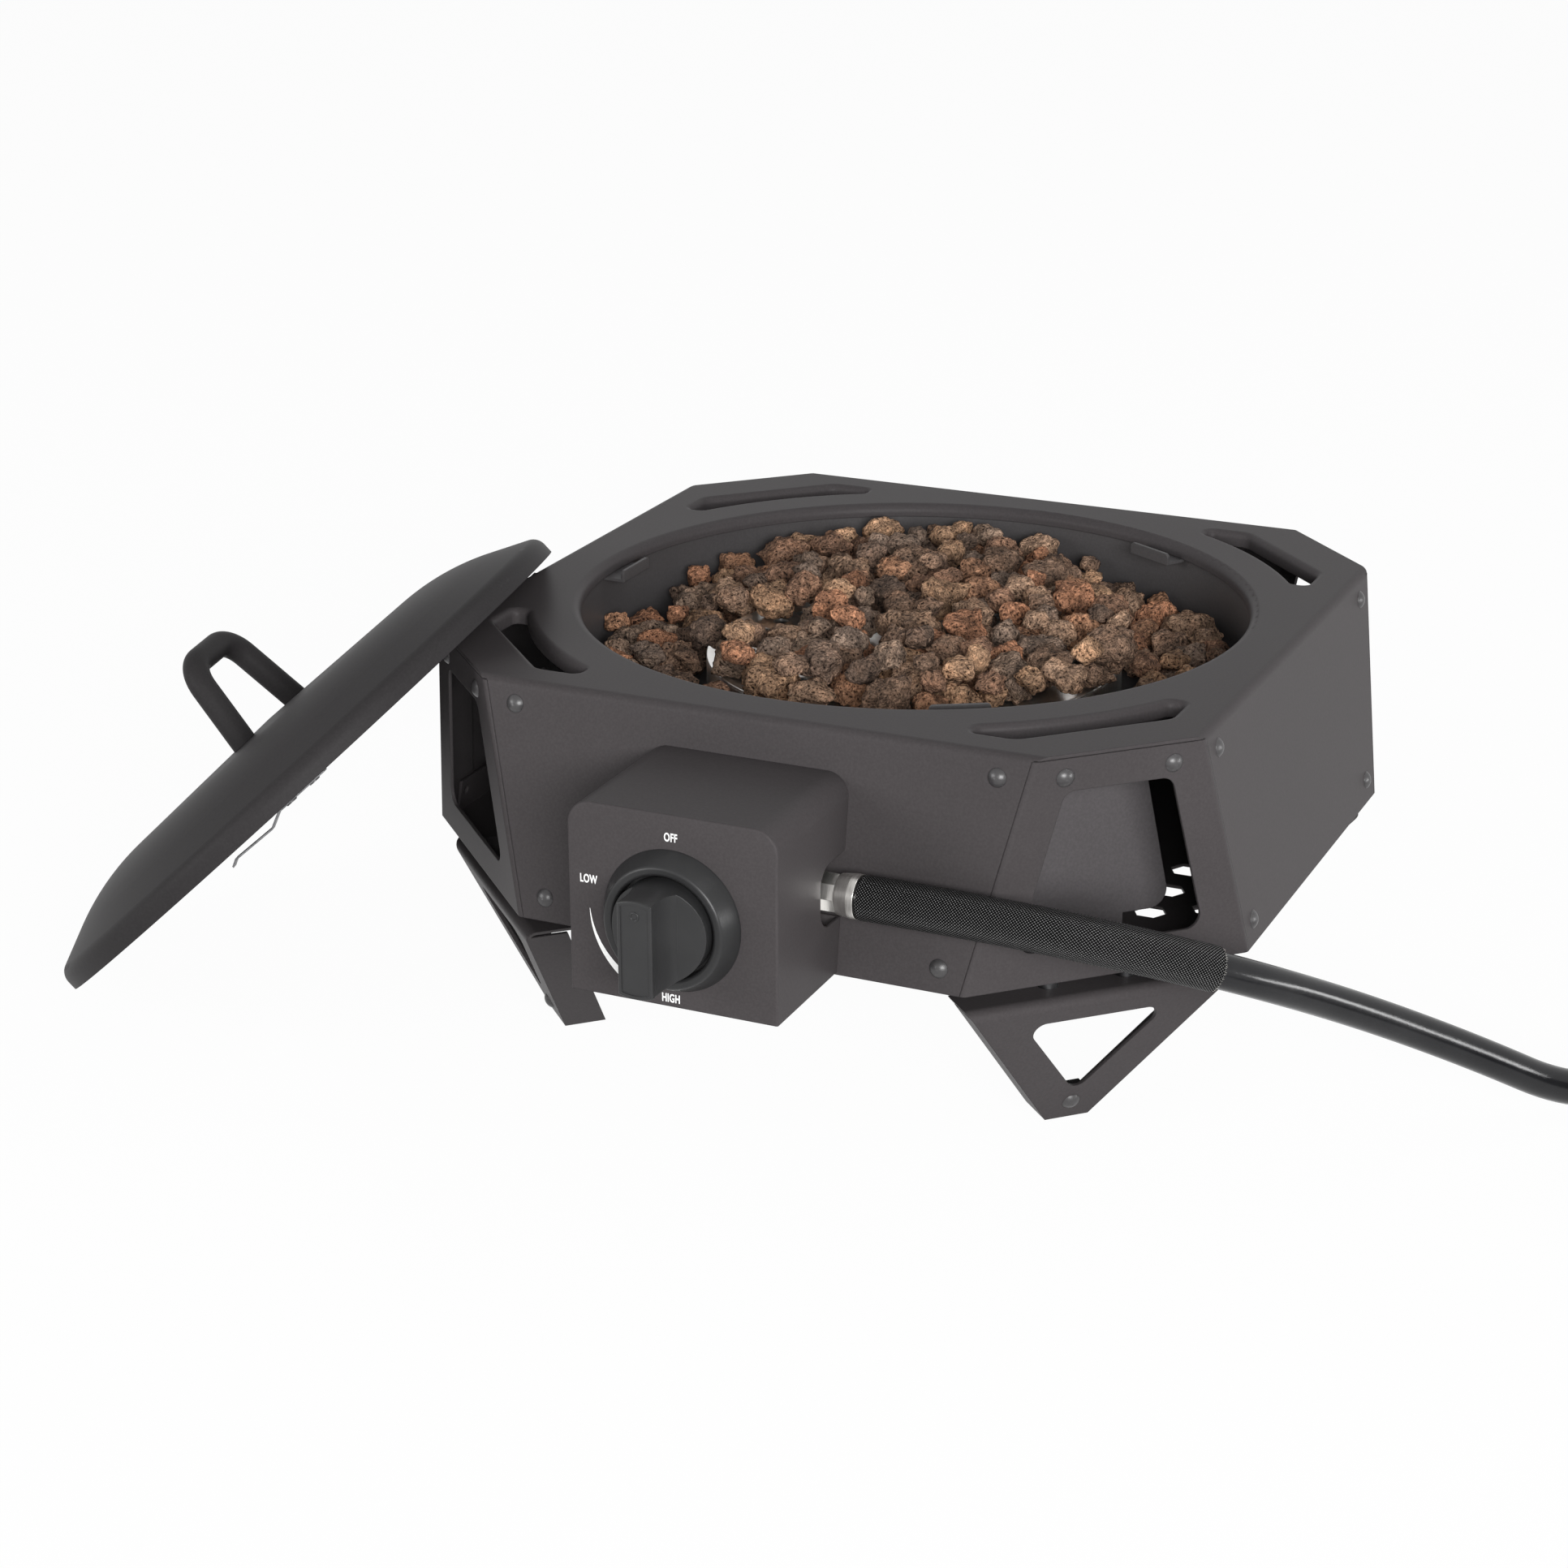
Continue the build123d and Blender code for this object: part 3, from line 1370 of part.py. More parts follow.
class Lump:
    """A convex lump with corners, faces, edges and face planes."""

    def __init__(self, points, faces):
        self.points = points
        self.faces = faces
        pairs = {tuple(sorted(p)) for f in faces for p in zip(f, f[1:] + f[:1])}
        self.edges = np.array(sorted(pairs))
        normals = [np.cross(points[f[1]] - points[f[0]], points[f[2]] - points[f[0]]) for f in faces]
        self.normals = np.array([v / np.linalg.norm(v) for v in normals])
        self.offsets = np.array([v @ points[f[0]] for v, f in zip(self.normals, faces)])
        self.reach = float(np.hypot(points[:, 0], points[:, 1]).max())

    def moved(self, shift):
        other = Lump.__new__(Lump)
        other.points = self.points + shift
        other.faces = self.faces
        other.edges = self.edges
        other.normals = self.normals
        other.offsets = self.offsets + self.normals @ shift
        other.reach = self.reach
        other.spot = shift
        return other

    def span(self, xy):
        """Lowest and highest height of the lump over places, and which places it covers."""
        nz = self.normals[:, 2]
        flat = xy @ self.normals[:, :2].T
        up, down, wall = nz > 1e-6, nz < -1e-6, np.abs(nz) <= 1e-6
        high = ((self.offsets[up] - flat[:, up]) / nz[up]).min(axis=1)
        low = ((self.offsets[down] - flat[:, down]) / nz[down]).max(axis=1)
        inside = (high >= low) & np.all(flat[:, wall] <= self.offsets[wall] + 1e-9, axis=1)
        return low, high, inside


def lift_over(falling, resting):
    """How far the falling lump must be raised to rest on the other one."""
    best = -1e9
    low, high, inside = resting.span(falling.points[:, :2])
    if inside.any():
        best = max(best, float((high - falling.points[:, 2])[inside].max()))
    low, high, inside = falling.span(resting.points[:, :2])
    if inside.any():
        best = max(best, float((resting.points[:, 2] - low)[inside].max()))
    a0, a1 = falling.points[falling.edges[:, 0]], falling.points[falling.edges[:, 1]]
    b0, b1 = resting.points[resting.edges[:, 0]], resting.points[resting.edges[:, 1]]
    u, v = a1 - a0, b1 - b0
    w = b0[None] - a0[:, None]
    cross = u[:, None, 0] * v[None, :, 1] - u[:, None, 1] * v[None, :, 0]
    cross = np.where(np.abs(cross) < 1e-12, np.nan, cross)
    s = (w[..., 0] * v[None, :, 1] - w[..., 1] * v[None, :, 0]) / cross
    t = (w[..., 0] * u[:, None, 1] - w[..., 1] * u[:, None, 0]) / cross
    meet = (s >= 0) & (s <= 1) & (t >= 0) & (t <= 1)
    if meet.any():
        za = a0[:, None, 2] + s * u[:, None, 2]
        zb = b0[None, :, 2] + t * v[None, :, 2]
        best = max(best, float((zb - za)[meet].max()))
    return best


def spun(points, axis, angle):
    """Points turned about one of the three axes."""
    c, s = math.cos(angle), math.sin(angle)
    i, j = (axis + 1) % 3, (axis + 2) % 3
    turned_points = points.copy()
    turned_points[:, [i, j]] = points[:, [i, j]] @ np.array([[c, s], [-s, c]])
    return turned_points


def rock_shape(chance):
    """The corners and faces of one irregular convex lump of unit radius."""
    while True:
        turn = chance.uniform(0, 2 * math.pi)
        points = []
        for i in range(rock_corners):
            z = 1 - (2 * i + 1) / rock_corners
            a = turn + i * math.pi * (3 - math.sqrt(5))
            a += math.pi * chance.uniform(-rock_turn_share, rock_turn_share)
            r = math.sqrt(1 - z * z)
            k = chance.uniform(*rock_bulge_shares)
            points.append((k * r * math.cos(a), k * r * math.sin(a), k * z))
        stretch = np.array([chance.uniform(*rock_stretch_shares) for _ in range(3)])
        points = np.array(points) * stretch
        for axis in range(3):
            points = spun(points, axis, chance.uniform(0, 2 * math.pi))
        faces = hull_faces(points)
        if len({i for f in faces for i in f}) == rock_corners and len(faces) == 2 * rock_corners - 4:
            points[:, 2] *= rock_flat_share
            return points, faces


def bowl_floor_at(r):
    """Height of the bowl's inner face at a distance from its axis."""
    wall = bowl_inner_radius() - rock_wall_gap
    bend = bowl_radius - bowl_sheet
    base = bowl_floor_height + bowl_sheet
    out = np.clip(r - (wall - bend), 0, bend)
    return base + bend - np.sqrt(bend * bend - out * out)


def burner_lump():
    """The burner drum as a many-sided block for the rocks to rest on."""
    sides = 40
    r = (burner_dia / 2 + rock_wall_gap) / math.cos(math.pi / sides)
    base = bowl_floor_height
    turns = [2 * math.pi * k / sides for k in range(sides)]
    ring = [(r * math.cos(a), r * math.sin(a)) for a in turns]
    points = np.array([(x, y, base) for x, y in ring] + [(x, y, burner_top_height) for x, y in ring])
    faces = [tuple(range(sides))[::-1], tuple(range(sides, 2 * sides))]
    faces += [(k, (k + 1) % sides, sides + (k + 1) % sides, sides + k) for k in range(sides)]
    return Lump(points, faces)


def near_tab(lump):
    """Whether a lump comes under or over one of the bowl's catches."""
    wall = bowl_inner_radius() - tab_reach - sheet - rock_wall_gap
    r = np.hypot(lump.points[:, 0], lump.points[:, 1])
    if r.max() < wall or lump.points[:, 2].max() < tab_level() - rock_wall_gap:
        return False
    x, y = lump.spot[0], lump.spot[1]
    off = (math.degrees(math.atan2(y, x)) - tab_first_angle + THIRD / 2) % THIRD - THIRD / 2
    return abs(math.radians(off)) * wall < tab_width / 2 + lump.reach + rock_wall_gap


def pile_level(x, y):
    """How high the top of a lump may stand at a place in the bowl."""
    away = math.hypot(x - pile_crown[0], y - pile_crown[1])
    level = max(pile_crown_height - pile_slope_share * away, pile_low_height)
    if math.hypot(x, y) < burner_dia / 2:
        level = max(level, burner_top_height + rock_large * rock_flat_share)
    return min(level, deck_height - rock_top_gap)


def rock_pile():
    """Lumps dropped one by one into the bowl, each to the lowest of a few chance places."""
    chance = random.Random(rock_seed)
    kinds = [rock_shape(chance) for _ in range(rock_kinds)]
    wall = bowl_inner_radius() - rock_wall_gap
    placed = []
    drum = burner_lump()
    misses = 0
    while len(placed) < rock_count and misses < rock_misses:
        fill = len(placed) / rock_count
        tired = misses / rock_misses
        size = rock_large + (rock_small - rock_large) * max(chance.random() * (1 + fill) / 2, tired)
        best = None
        for _ in range(rock_tries):
            points, faces = chance.choice(kinds)
            lump = Lump(spun(points, 2, chance.uniform(0, 2 * math.pi)) * size / 2, faces)
            reach = (wall - lump.reach) * math.sqrt(chance.random())
            a = chance.uniform(0, 2 * math.pi)
            shift = np.array([reach * math.cos(a), reach * math.sin(a), 0])
            here = lump.moved(shift)
            r = np.hypot(here.points[:, 0], here.points[:, 1])
            if r.max() > wall:
                continue
            rise = float((bowl_floor_at(r) - here.points[:, 2]).max())
            rise = max(rise, lift_over(here, drum))
            for other in placed:
                apart = math.hypot(other.spot[0] - shift[0], other.spot[1] - shift[1])
                if apart < other.reach + lump.reach:
                    rise = max(rise, lift_over(here, other))
            here = lump.moved(shift + np.array([0, 0, rise + rock_gap]))
            top = here.points[:, 2].max()
            if top > pile_level(shift[0], shift[1]) or near_tab(here):
                continue
            bare = math.hypot(shift[0] - bare_patch[0], shift[1] - bare_patch[1])
            if bare < bare_patch_dia / 2 + lump.reach / 2:
                continue
            if best is None or top < best[0]:
                best = (top, here)
        if best is None:
            misses += 1
        else:
            placed.append(best[1])
    print("rocks", len(placed))
    return placed


def make_lava_rocks():
    solids = []
    for lump in rock_pile():
        corners = [tuple(float(v) for v in p) for p in lump.points]
        faces = [Face(Wire.make_polygon([corners[i] for i in f], close=True)) for f in lump.faces]
        solids.append(Part() + Solid(Shell(faces)))
    return group(solids)


CORNERS = ("fr", "br", "bl", "fl")


def build_all():
    parts = {
        "deck_shell": make_deck_shell(),
        "panel_rivets": make_panel_rivets(),
        "bottom_tray": make_bottom_tray(),
        "leg_spacers": make_leg_spacers(),
        "leg_rivets": make_leg_rivets(),
        "foot_rivets": make_foot_rivets(),
        "foot_pads": make_foot_pads(),
        "fire_bowl": make_fire_bowl(),
        "bowl_tabs": make_bowl_tabs(),
        "burner_pan": make_burner_pan(),
        "burner_top": make_burner_top(),
        "burner_screws": make_burner_screws(),
        "mixing_tube": make_mixing_tube(),
        "gas_jet": make_gas_jet(),
        "control_box": make_control_box(),
        "knob_bezel": make_knob_bezel(),
        "knob": make_knob(),
        "valve_stem": make_valve_stem(),
        "stem_washer": make_stem_washer(),
        "valve_body": make_valve_body(),
        "valve_screws": make_valve_screws(),
        "inlet_nipple": make_inlet_nipple(),
        "hose_ferrule": make_hose_ferrule(),
        "hose_sleeve": make_hose_sleeve(),
        "gas_hose": make_gas_hose(),
        "hose_coil": make_hose_coil(),
        "coil_tie": make_coil_tie(),
        "hose_end": make_hose_end(),
        "regulator": make_regulator(),
        "tank_nut": make_tank_nut(),
        "lid": make_lid(),
        "lid_handle": make_lid_handle(),
        "handle_screws": make_handle_screws(),
        "lid_clips": make_lid_clips(),
        "clip_rivets": make_clip_rivets(),
        "lava_rocks": make_lava_rocks(),
    }
    for q, name in enumerate(CORNERS):
        parts["corner_panel_" + name] = make_corner_panel(q)
        parts["heat_shield_" + name] = make_heat_shield(q)
        parts["leg_" + name] = make_leg(q)
    return parts


os.makedirs("parts", exist_ok=True)
for node, shape in build_all().items():
    export_step(shape, "parts/" + node + ".step")
print("done")
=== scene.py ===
import json
import math
import random

import bmesh
import bpy
import numpy as np
from mathutils import Matrix, Vector, noise


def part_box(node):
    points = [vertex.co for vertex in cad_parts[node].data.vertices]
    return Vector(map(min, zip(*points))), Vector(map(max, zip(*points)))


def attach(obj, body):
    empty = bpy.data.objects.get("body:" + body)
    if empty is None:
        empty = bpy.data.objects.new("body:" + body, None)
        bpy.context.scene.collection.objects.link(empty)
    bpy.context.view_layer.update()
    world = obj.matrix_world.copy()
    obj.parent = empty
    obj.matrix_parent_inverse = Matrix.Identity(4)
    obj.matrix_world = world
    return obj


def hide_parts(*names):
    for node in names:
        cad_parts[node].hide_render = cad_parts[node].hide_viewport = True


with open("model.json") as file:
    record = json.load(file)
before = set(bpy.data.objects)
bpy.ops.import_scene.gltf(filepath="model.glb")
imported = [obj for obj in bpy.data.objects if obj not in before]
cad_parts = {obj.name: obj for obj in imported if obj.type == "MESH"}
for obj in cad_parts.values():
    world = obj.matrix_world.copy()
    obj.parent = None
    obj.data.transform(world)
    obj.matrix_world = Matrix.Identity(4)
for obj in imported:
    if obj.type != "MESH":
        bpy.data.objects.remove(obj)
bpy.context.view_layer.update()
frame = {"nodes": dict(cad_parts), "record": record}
nodes = frame["nodes"]
scene = bpy.context.scene

# Lengths are in metres and angles in degrees; the lens and its sensor are in millimetres
CAMERA_BEARING, CAMERA_DIP, CAMERA_ROLL = 24.574, 20.783, -0.181
CAMERA_PLACE = (0.52703, -1.29445, 0.61969)
CAMERA_LENS, SENSOR_WIDTH = 74.53, 36.0
CLIP_NEAR, CLIP_FAR = 0.05, 60.0


def make_camera():
    """The camera at the photograph's place, which was solved from the deck, the bowl and the rivets."""
    bearing, dip, roll = (math.radians(a) for a in (CAMERA_BEARING, CAMERA_DIP, CAMERA_ROLL))
    level = Vector((math.cos(bearing), math.sin(bearing), 0))
    forward = Vector((-math.sin(bearing) * math.cos(dip), math.cos(bearing) * math.cos(dip), -math.sin(dip)))
    upright = level.cross(forward)
    right = level * math.cos(roll) + upright * math.sin(roll)
    up = upright * math.cos(roll) - level * math.sin(roll)
    data = bpy.data.cameras.new("camera")
    data.sensor_width = SENSOR_WIDTH
    data.lens = CAMERA_LENS
    data.clip_start, data.clip_end = CLIP_NEAR, CLIP_FAR
    cam = bpy.data.objects.new("camera", data)
    turn = Matrix((right, up, -forward)).transposed().to_4x4()
    cam.matrix_world = Matrix.Translation(CAMERA_PLACE) @ turn
    scene.collection.objects.link(cam)
    scene.camera = cam


make_camera()


class Shader:
    """A principled material and the few nodes that the looks are made of.

    Texture scales are in cells per metre. Sources are sockets, and each method that makes a
    value gives its socket back.
    """

    def __init__(self, name):
        self.mat = bpy.data.materials.new(name)
        self.mat.use_nodes = True
        self.tree = self.mat.node_tree
        self.tree.nodes.clear()
        self.bsdf = self.add("ShaderNodeBsdfPrincipled")
        self.join(self.bsdf.outputs["BSDF"], self.add("ShaderNodeOutputMaterial").inputs["Surface"])
        self.coords = self.add("ShaderNodeTexCoord")

    def add(self, kind, **values):
        node = self.tree.nodes.new(kind)
        for key, value in values.items():
            if key in node.inputs:
                node.inputs[key].default_value = value
            else:
                setattr(node, key, value)
        return node

    def join(self, source, pin):
        self.tree.links.new(source, pin)

    def feed(self, pin, source):
        self.join(source, self.bsdf.inputs[pin])

    def set(self, **values):
        for key, value in values.items():
            self.bsdf.inputs[key.replace("_", " ")].default_value = value

    def noise(self, scale, detail, rough=0.55, stretch=None, out="Fac"):
        n = self.add("ShaderNodeTexNoise", Scale=scale, Detail=detail, Roughness=rough)
        where = self.coords.outputs["Object"]
        if stretch:
            m = self.add("ShaderNodeMapping", Scale=stretch)
            self.join(where, m.inputs["Vector"])
            where = m.outputs["Vector"]
        self.join(where, n.inputs["Vector"])
        return n.outputs[out]

    def cells(self, scale, where):
        """Distance from the nearest cell's centre."""
        n = self.add("ShaderNodeTexVoronoi", Scale=scale)
        self.join(where, n.inputs["Vector"])
        return n.outputs["Distance"]

    def ramp(self, source, *stops):
        """A colour ramp; a plain number is a grey."""
        r = self.add("ShaderNodeValToRGB")
        marks = r.color_ramp.elements
        for _ in stops[2:]:
            marks.new(1.0)
        for mark, (place, tone) in zip(marks, stops):
            mark.position = place
            mark.color = (tone, tone, tone, 1) if isinstance(tone, float) else (*tone, 1)
        self.join(source, r.inputs["Fac"])
        return r.outputs["Color"]

    def tinted(self, a, b):
        """One colour times another."""
        m = self.add("ShaderNodeMix", data_type="RGBA", blend_type="MULTIPLY")
        pins = {p.name: p for p in m.inputs if p.enabled}
        pins["Factor"].default_value = 1.0
        self.join(a, pins["A"])
        self.join(b, pins["B"])
        return next(p for p in m.outputs if p.enabled)

    def math(self, op, *values):
        m = self.add("ShaderNodeMath", operation=op)
        for pin, value in zip(m.inputs, values):
            if isinstance(value, float):
                pin.default_value = value
            else:
                self.join(value, pin)
        return m.outputs["Value"]

    def vector(self, op, a, b):
        m = self.add("ShaderNodeVectorMath", operation=op)
        self.join(a, m.inputs[0])
        if isinstance(b, float):
            m.inputs["Scale"].default_value = b
        else:
            self.join(b, m.inputs[1])
        return m.outputs["Vector"]

    def roughness(self, source, low, high):
        r = self.add("ShaderNodeMapRange")
        r.inputs["To Min"].default_value = low
        r.inputs["To Max"].default_value = high
        self.join(source, r.inputs["Value"])
        self.feed("Roughness", r.outputs["Result"])

    def bump(self, source, strength, distance, soft=0.0, under=None):
        """A bump on top of another one, or on edges that are softened by a radius."""
        b = self.add("ShaderNodeBump", Strength=strength, Distance=distance)
        self.join(source, b.inputs["Height"])
        if soft:
            edge = self.add("ShaderNodeBevel", samples=4)
            edge.inputs["Radius"].default_value = soft
            under = edge.outputs["Normal"]
        if under is not None:
            self.join(under, b.inputs["Normal"])
        self.feed("Normal", b.outputs["Normal"])
        return b.outputs["Normal"]


def coat(name, dark, light, rough, grain=0.10, soft=0.0006, gloss=0.06):
    """Powder coat: a close mix of two greys, a fine grain and soft edges."""
    s = Shader(name)
    wide = s.noise(scale=9.0, detail=3.0)
    base = s.ramp(wide, (0.3, dark), (0.7, light))
    speck = s.ramp(s.noise(scale=900.0, detail=2.0), (0.35, 0.92), (0.7, 1.06))
    s.feed("Base Color", s.tinted(base, speck))
    s.roughness(wide, rough - 0.05, rough + 0.05)
    s.set(Specular_IOR_Level=gloss)
    s.bump(s.noise(scale=1500.0, detail=3.0, rough=0.6), grain, distance=0.00025, soft=soft)
    return s.mat


def metal(name, dark, light, rough, stretch=None, scale=220.0, relief=0.06):
    """Bare metal with fine drawn or turned streaks and a little tarnish."""
    s = Shader(name)
    streak = s.noise(scale, detail=5.0, rough=0.6, stretch=stretch)
    s.feed("Base Color", s.ramp(streak, (0.3, dark), (0.72, light)))
    s.roughness(streak, rough - 0.07, rough + 0.09)
    s.set(Metallic=1.0)
    s.bump(streak, relief, distance=0.0002, soft=0.0004)
    return s.mat


def moulded(name, dark, light, rough, grain, scale=1300.0):
    """Moulded plastic or rubber with a spark-eroded grain."""
    s = Shader(name)
    wide = s.noise(scale=40.0, detail=3.0)
    s.feed("Base Color", s.ramp(wide, (0.3, dark), (0.7, light)))
    s.roughness(wide, rough - 0.05, rough + 0.06)
    s.set(Specular_IOR_Level=0.3)
    s.bump(s.noise(scale, detail=2.0, rough=0.6), grain, distance=0.0002, soft=0.0004)
    return s.mat


def hose_material():
    """Black rubber with a smooth, slightly dusty skin."""
    s = Shader("hose_rubber_skin")
    wide = s.noise(scale=35.0, detail=3.0)
    s.feed("Base Color", s.ramp(wide, (0.3, (0.008, 0.008, 0.009)), (0.7, (0.014, 0.014, 0.015))))
    dust = s.noise(scale=420.0, detail=6.0, rough=0.7)
    s.roughness(dust, 0.1, 0.24)
    s.set(Specular_IOR_Level=0.28)
    s.bump(dust, strength=0.16, distance=0.0003)
    return s.mat


def braid_material():
    """Black glass braid: two families of strands that pass over and under each other, with painted shade in
    the gaps between strands and painted light on their crests.
    """
    s = Shader("sleeve_braid_weave")
    uv = s.add("ShaderNodeSeparateXYZ")
    s.join(s.coords.outputs["UV"], uv.inputs["Vector"])
    along, around = uv.outputs["X"], uv.outputs["Y"]
    families = s.math("ADD", along, around), s.math("SUBTRACT", along, around)
    odd = s.math("FLOORED_MODULO", s.math("ADD", *(s.math("FLOOR", f) for f in families)), 2.0)
    waves = [s.math("SINE", s.math("MULTIPLY", s.math("FRACT", f), math.pi)) for f in families]
    heights = [
        s.math("MULTIPLY", across, s.math("MULTIPLY_ADD", own, 0.55, 0.45))
        for own, across in (waves, waves[::-1])
    ]
    pick = s.add("ShaderNodeMix", data_type="FLOAT")
    for pin, source in zip((0, 2, 3), (odd, *heights)):
        s.join(source, pick.inputs[pin])
    height = pick.outputs[0]
    # Painted shade and light: the colour is near black in the gaps between strands and lightest on the
    # strands' crests, and the reflection is switched off in the gaps
    tone = s.ramp(height, (0.05, 0.001), (0.6, (0.005, 0.005, 0.0052)), (0.98, (0.06, 0.059, 0.059)))
    s.feed("Base Color", tone)
    s.feed("Specular IOR Level", s.ramp(height, (0.45, 0.0), (0.95, 1.0)))
    s.set(Roughness=0.32)
    s.bump(height, strength=0.85, distance=0.0007)
    return s.mat


def rock_material():
    """Lava stone: a tint for each rock, blotches, and pits of two sizes with stirred outlines and painted
    shade in them.
    """
    s = Shader("lava_stone_skin")
    # the tint attribute holds each rock's colour with painted light on its crests and painted shade in its
    # creases
    tint = s.add("ShaderNodeAttribute", attribute_name="tint").outputs["Color"]
    blotch = s.noise(scale=95.0, detail=5.0, rough=0.65)
    patch = s.ramp(blotch, (0.28, (0.4, 0.4, 0.42)), (0.5, (0.95, 0.93, 0.9)), (0.75, (1.5, 1.36, 1.25)))
    stir = s.vector("SCALE", s.noise(scale=240.0, detail=3.0, out="Color"), 0.006)
    where = s.vector("ADD", s.coords.outputs["Object"], stir)
    large = s.math("MULTIPLY", s.cells(430.0, where), 1.5)
    small = s.math("MULTIPLY_ADD", s.cells(950.0, where), 1.4, 0.12)
    pits = s.math("MINIMUM", large, small)
    # Painted shade: the pits' centres are darkened almost to black and the stone between them is lightened a
    # little
    painted_pit_shade = s.ramp(pits, (0.2, (0.05, 0.04, 0.035)), (0.5, (0.72, 0.71, 0.7)), (0.9, 1.15))
    s.feed("Base Color", s.tinted(s.tinted(tint, patch), painted_pit_shade))
    s.set(Roughness=0.93, Specular_IOR_Level=0.2)
    pitted = s.bump(pits, strength=1.0, distance=0.0022)
    s.bump(s.noise(scale=900.0, detail=6.0, rough=0.75), strength=0.55, distance=0.0009, under=pitted)
    return s.mat


def plain_paint(name, color, rough):
    """Printed paint or bare fibre, with a faint unevenness."""
    s = Shader(name)
    worn = tuple(c * 0.93 for c in color)
    s.feed("Base Color", s.ramp(s.noise(scale=700.0, detail=3.0), (0.3, worn), (0.7, color)))
    s.set(Roughness=rough)
    return s.mat


M_BODY = coat("body_powder_coat", (0.046, 0.0415, 0.0425), (0.052, 0.047, 0.0482), 0.44,
              grain=0.07, soft=0.0008, gloss=0.07)
# Painted shade: the lid has the same powder coat as the body, given a darker colour here that stands in for
# the shade on it
M_LID_SHADED = coat("lid_coat_painted_shade", (0.024, 0.0225, 0.0231), (0.029, 0.0271, 0.0279), 0.5)
# Painted shade: the rivets have the body's powder coat, given a darker colour here that stands in for the
# shade round their heads
M_FAST_SHADED = coat("rivet_coat_painted_shade", (0.034, 0.032, 0.033), (0.041, 0.039, 0.040), 0.36,
              grain=0.07, soft=0.0003, gloss=0.5)
M_BOWL = coat("bowl_heat_coat", (0.051, 0.048, 0.049), (0.060, 0.0565, 0.0575), 0.45,
              grain=0.14, gloss=0.2)
# Painted light: the heat shields have the body's powder coat, given a lighter colour here for the light that
# reaches them through the corner windows
M_SHIELD_LIT = coat("shield_coat_painted_light", (0.078, 0.072, 0.0745), (0.087, 0.081, 0.0835), 0.5)
M_ZINC = metal("zinc_plate", (0.42, 0.42, 0.41), (0.66, 0.66, 0.64), 0.36)
M_SPRING = metal("spring_steel_dark", (0.07, 0.07, 0.072), (0.14, 0.14, 0.145), 0.38)
M_BURNER = metal("burner_stainless", (0.7, 0.69, 0.67), (0.88, 0.87, 0.85), 0.3,
                 stretch=(1.0, 14.0, 1.0), scale=90.0)
M_BRASS = metal("gas_fitting_brass", (0.52, 0.36, 0.13), (0.78, 0.58, 0.26), 0.28)
M_ALLOY = metal("die_cast_alloy", (0.44, 0.44, 0.45), (0.6, 0.6, 0.61), 0.42, scale=500.0, relief=0.16)
M_NICKEL = metal("nickel_plate", (0.76, 0.74, 0.7), (0.93, 0.91, 0.87), 0.32,
                 stretch=(12.0, 1.0, 1.0), scale=160.0, relief=0.05)
M_KNOB = moulded("knob_plastic", (0.018, 0.018, 0.0185), (0.023, 0.023, 0.0235), 0.34, grain=0.12)
M_BEZEL = moulded("bezel_plastic", (0.015, 0.015, 0.0155), (0.020, 0.020, 0.0205), 0.36, grain=0.10)
M_RUBBER = moulded("foot_rubber", (0.014, 0.014, 0.014), (0.022, 0.022, 0.022), 0.7, grain=0.2)
M_STRAP = moulded("tie_strap", (0.016, 0.016, 0.017), (0.024, 0.024, 0.025), 0.5, grain=0.2, scale=600.0)
M_NUT = moulded("hand_nut_plastic", (0.018, 0.018, 0.019), (0.026, 0.026, 0.027), 0.45, grain=0.15)
M_HOSE = hose_material()
M_BRAID = braid_material()
M_ROCK = rock_material()
M_MARK = plain_paint("marking_white", (0.82, 0.82, 0.81), 0.5)
M_FRAY = plain_paint("cut_fibre", (0.5, 0.48, 0.44), 0.7)

LOOKS = {
    # fastener_coat takes a darker copy of the body coat as painted shade, and shield_coat a lighter copy as
    # painted light
    "body_coat": M_BODY, "fastener_coat": M_FAST_SHADED, "shield_coat": M_SHIELD_LIT, "zinc_steel": M_ZINC,
    "spring_steel": M_SPRING, "foot_rubber": M_RUBBER, "bowl_coat": M_BOWL, "burner_steel": M_BURNER,
    "gas_brass": M_BRASS, "valve_alloy": M_ALLOY, "bezel_plastic": M_BEZEL, "knob_plastic": M_KNOB,
    "ferrule_nickel": M_NICKEL, "sleeve_braid": M_BRAID, "hose_rubber": M_HOSE, "tie_strap": M_STRAP,
    "regulator_alloy": M_ALLOY, "nut_plastic": M_NUT, "lava_stone": M_ROCK,
}
# The lid and its handle get the body coat darkened as painted shade; the leg spacers and rivets get dark
# steel
OWN_LOOKS = {"lid": M_LID_SHADED, "lid_handle": M_LID_SHADED, "leg_spacers": M_SPRING, "leg_rivets": M_SPRING}
for sub in frame["record"]["subparts"]:
    obj = nodes[sub["node"]]
    obj.data.materials.clear()
    obj.data.materials.append(OWN_LOOKS.get(sub["node"], LOOKS[sub["material_slot"]]))


def mesh_object(name, verts, faces, material, smooth=False):
    me = bpy.data.meshes.new(name)
    me.from_pydata([tuple(v) for v in verts], [], faces)
    me.materials.append(material)
    me.update()
    if smooth:
        me.polygons.foreach_set("use_smooth", [True] * len(me.polygons))
    ob = bpy.data.objects.new(name, me)
    scene.collection.objects.link(ob)
    return ob


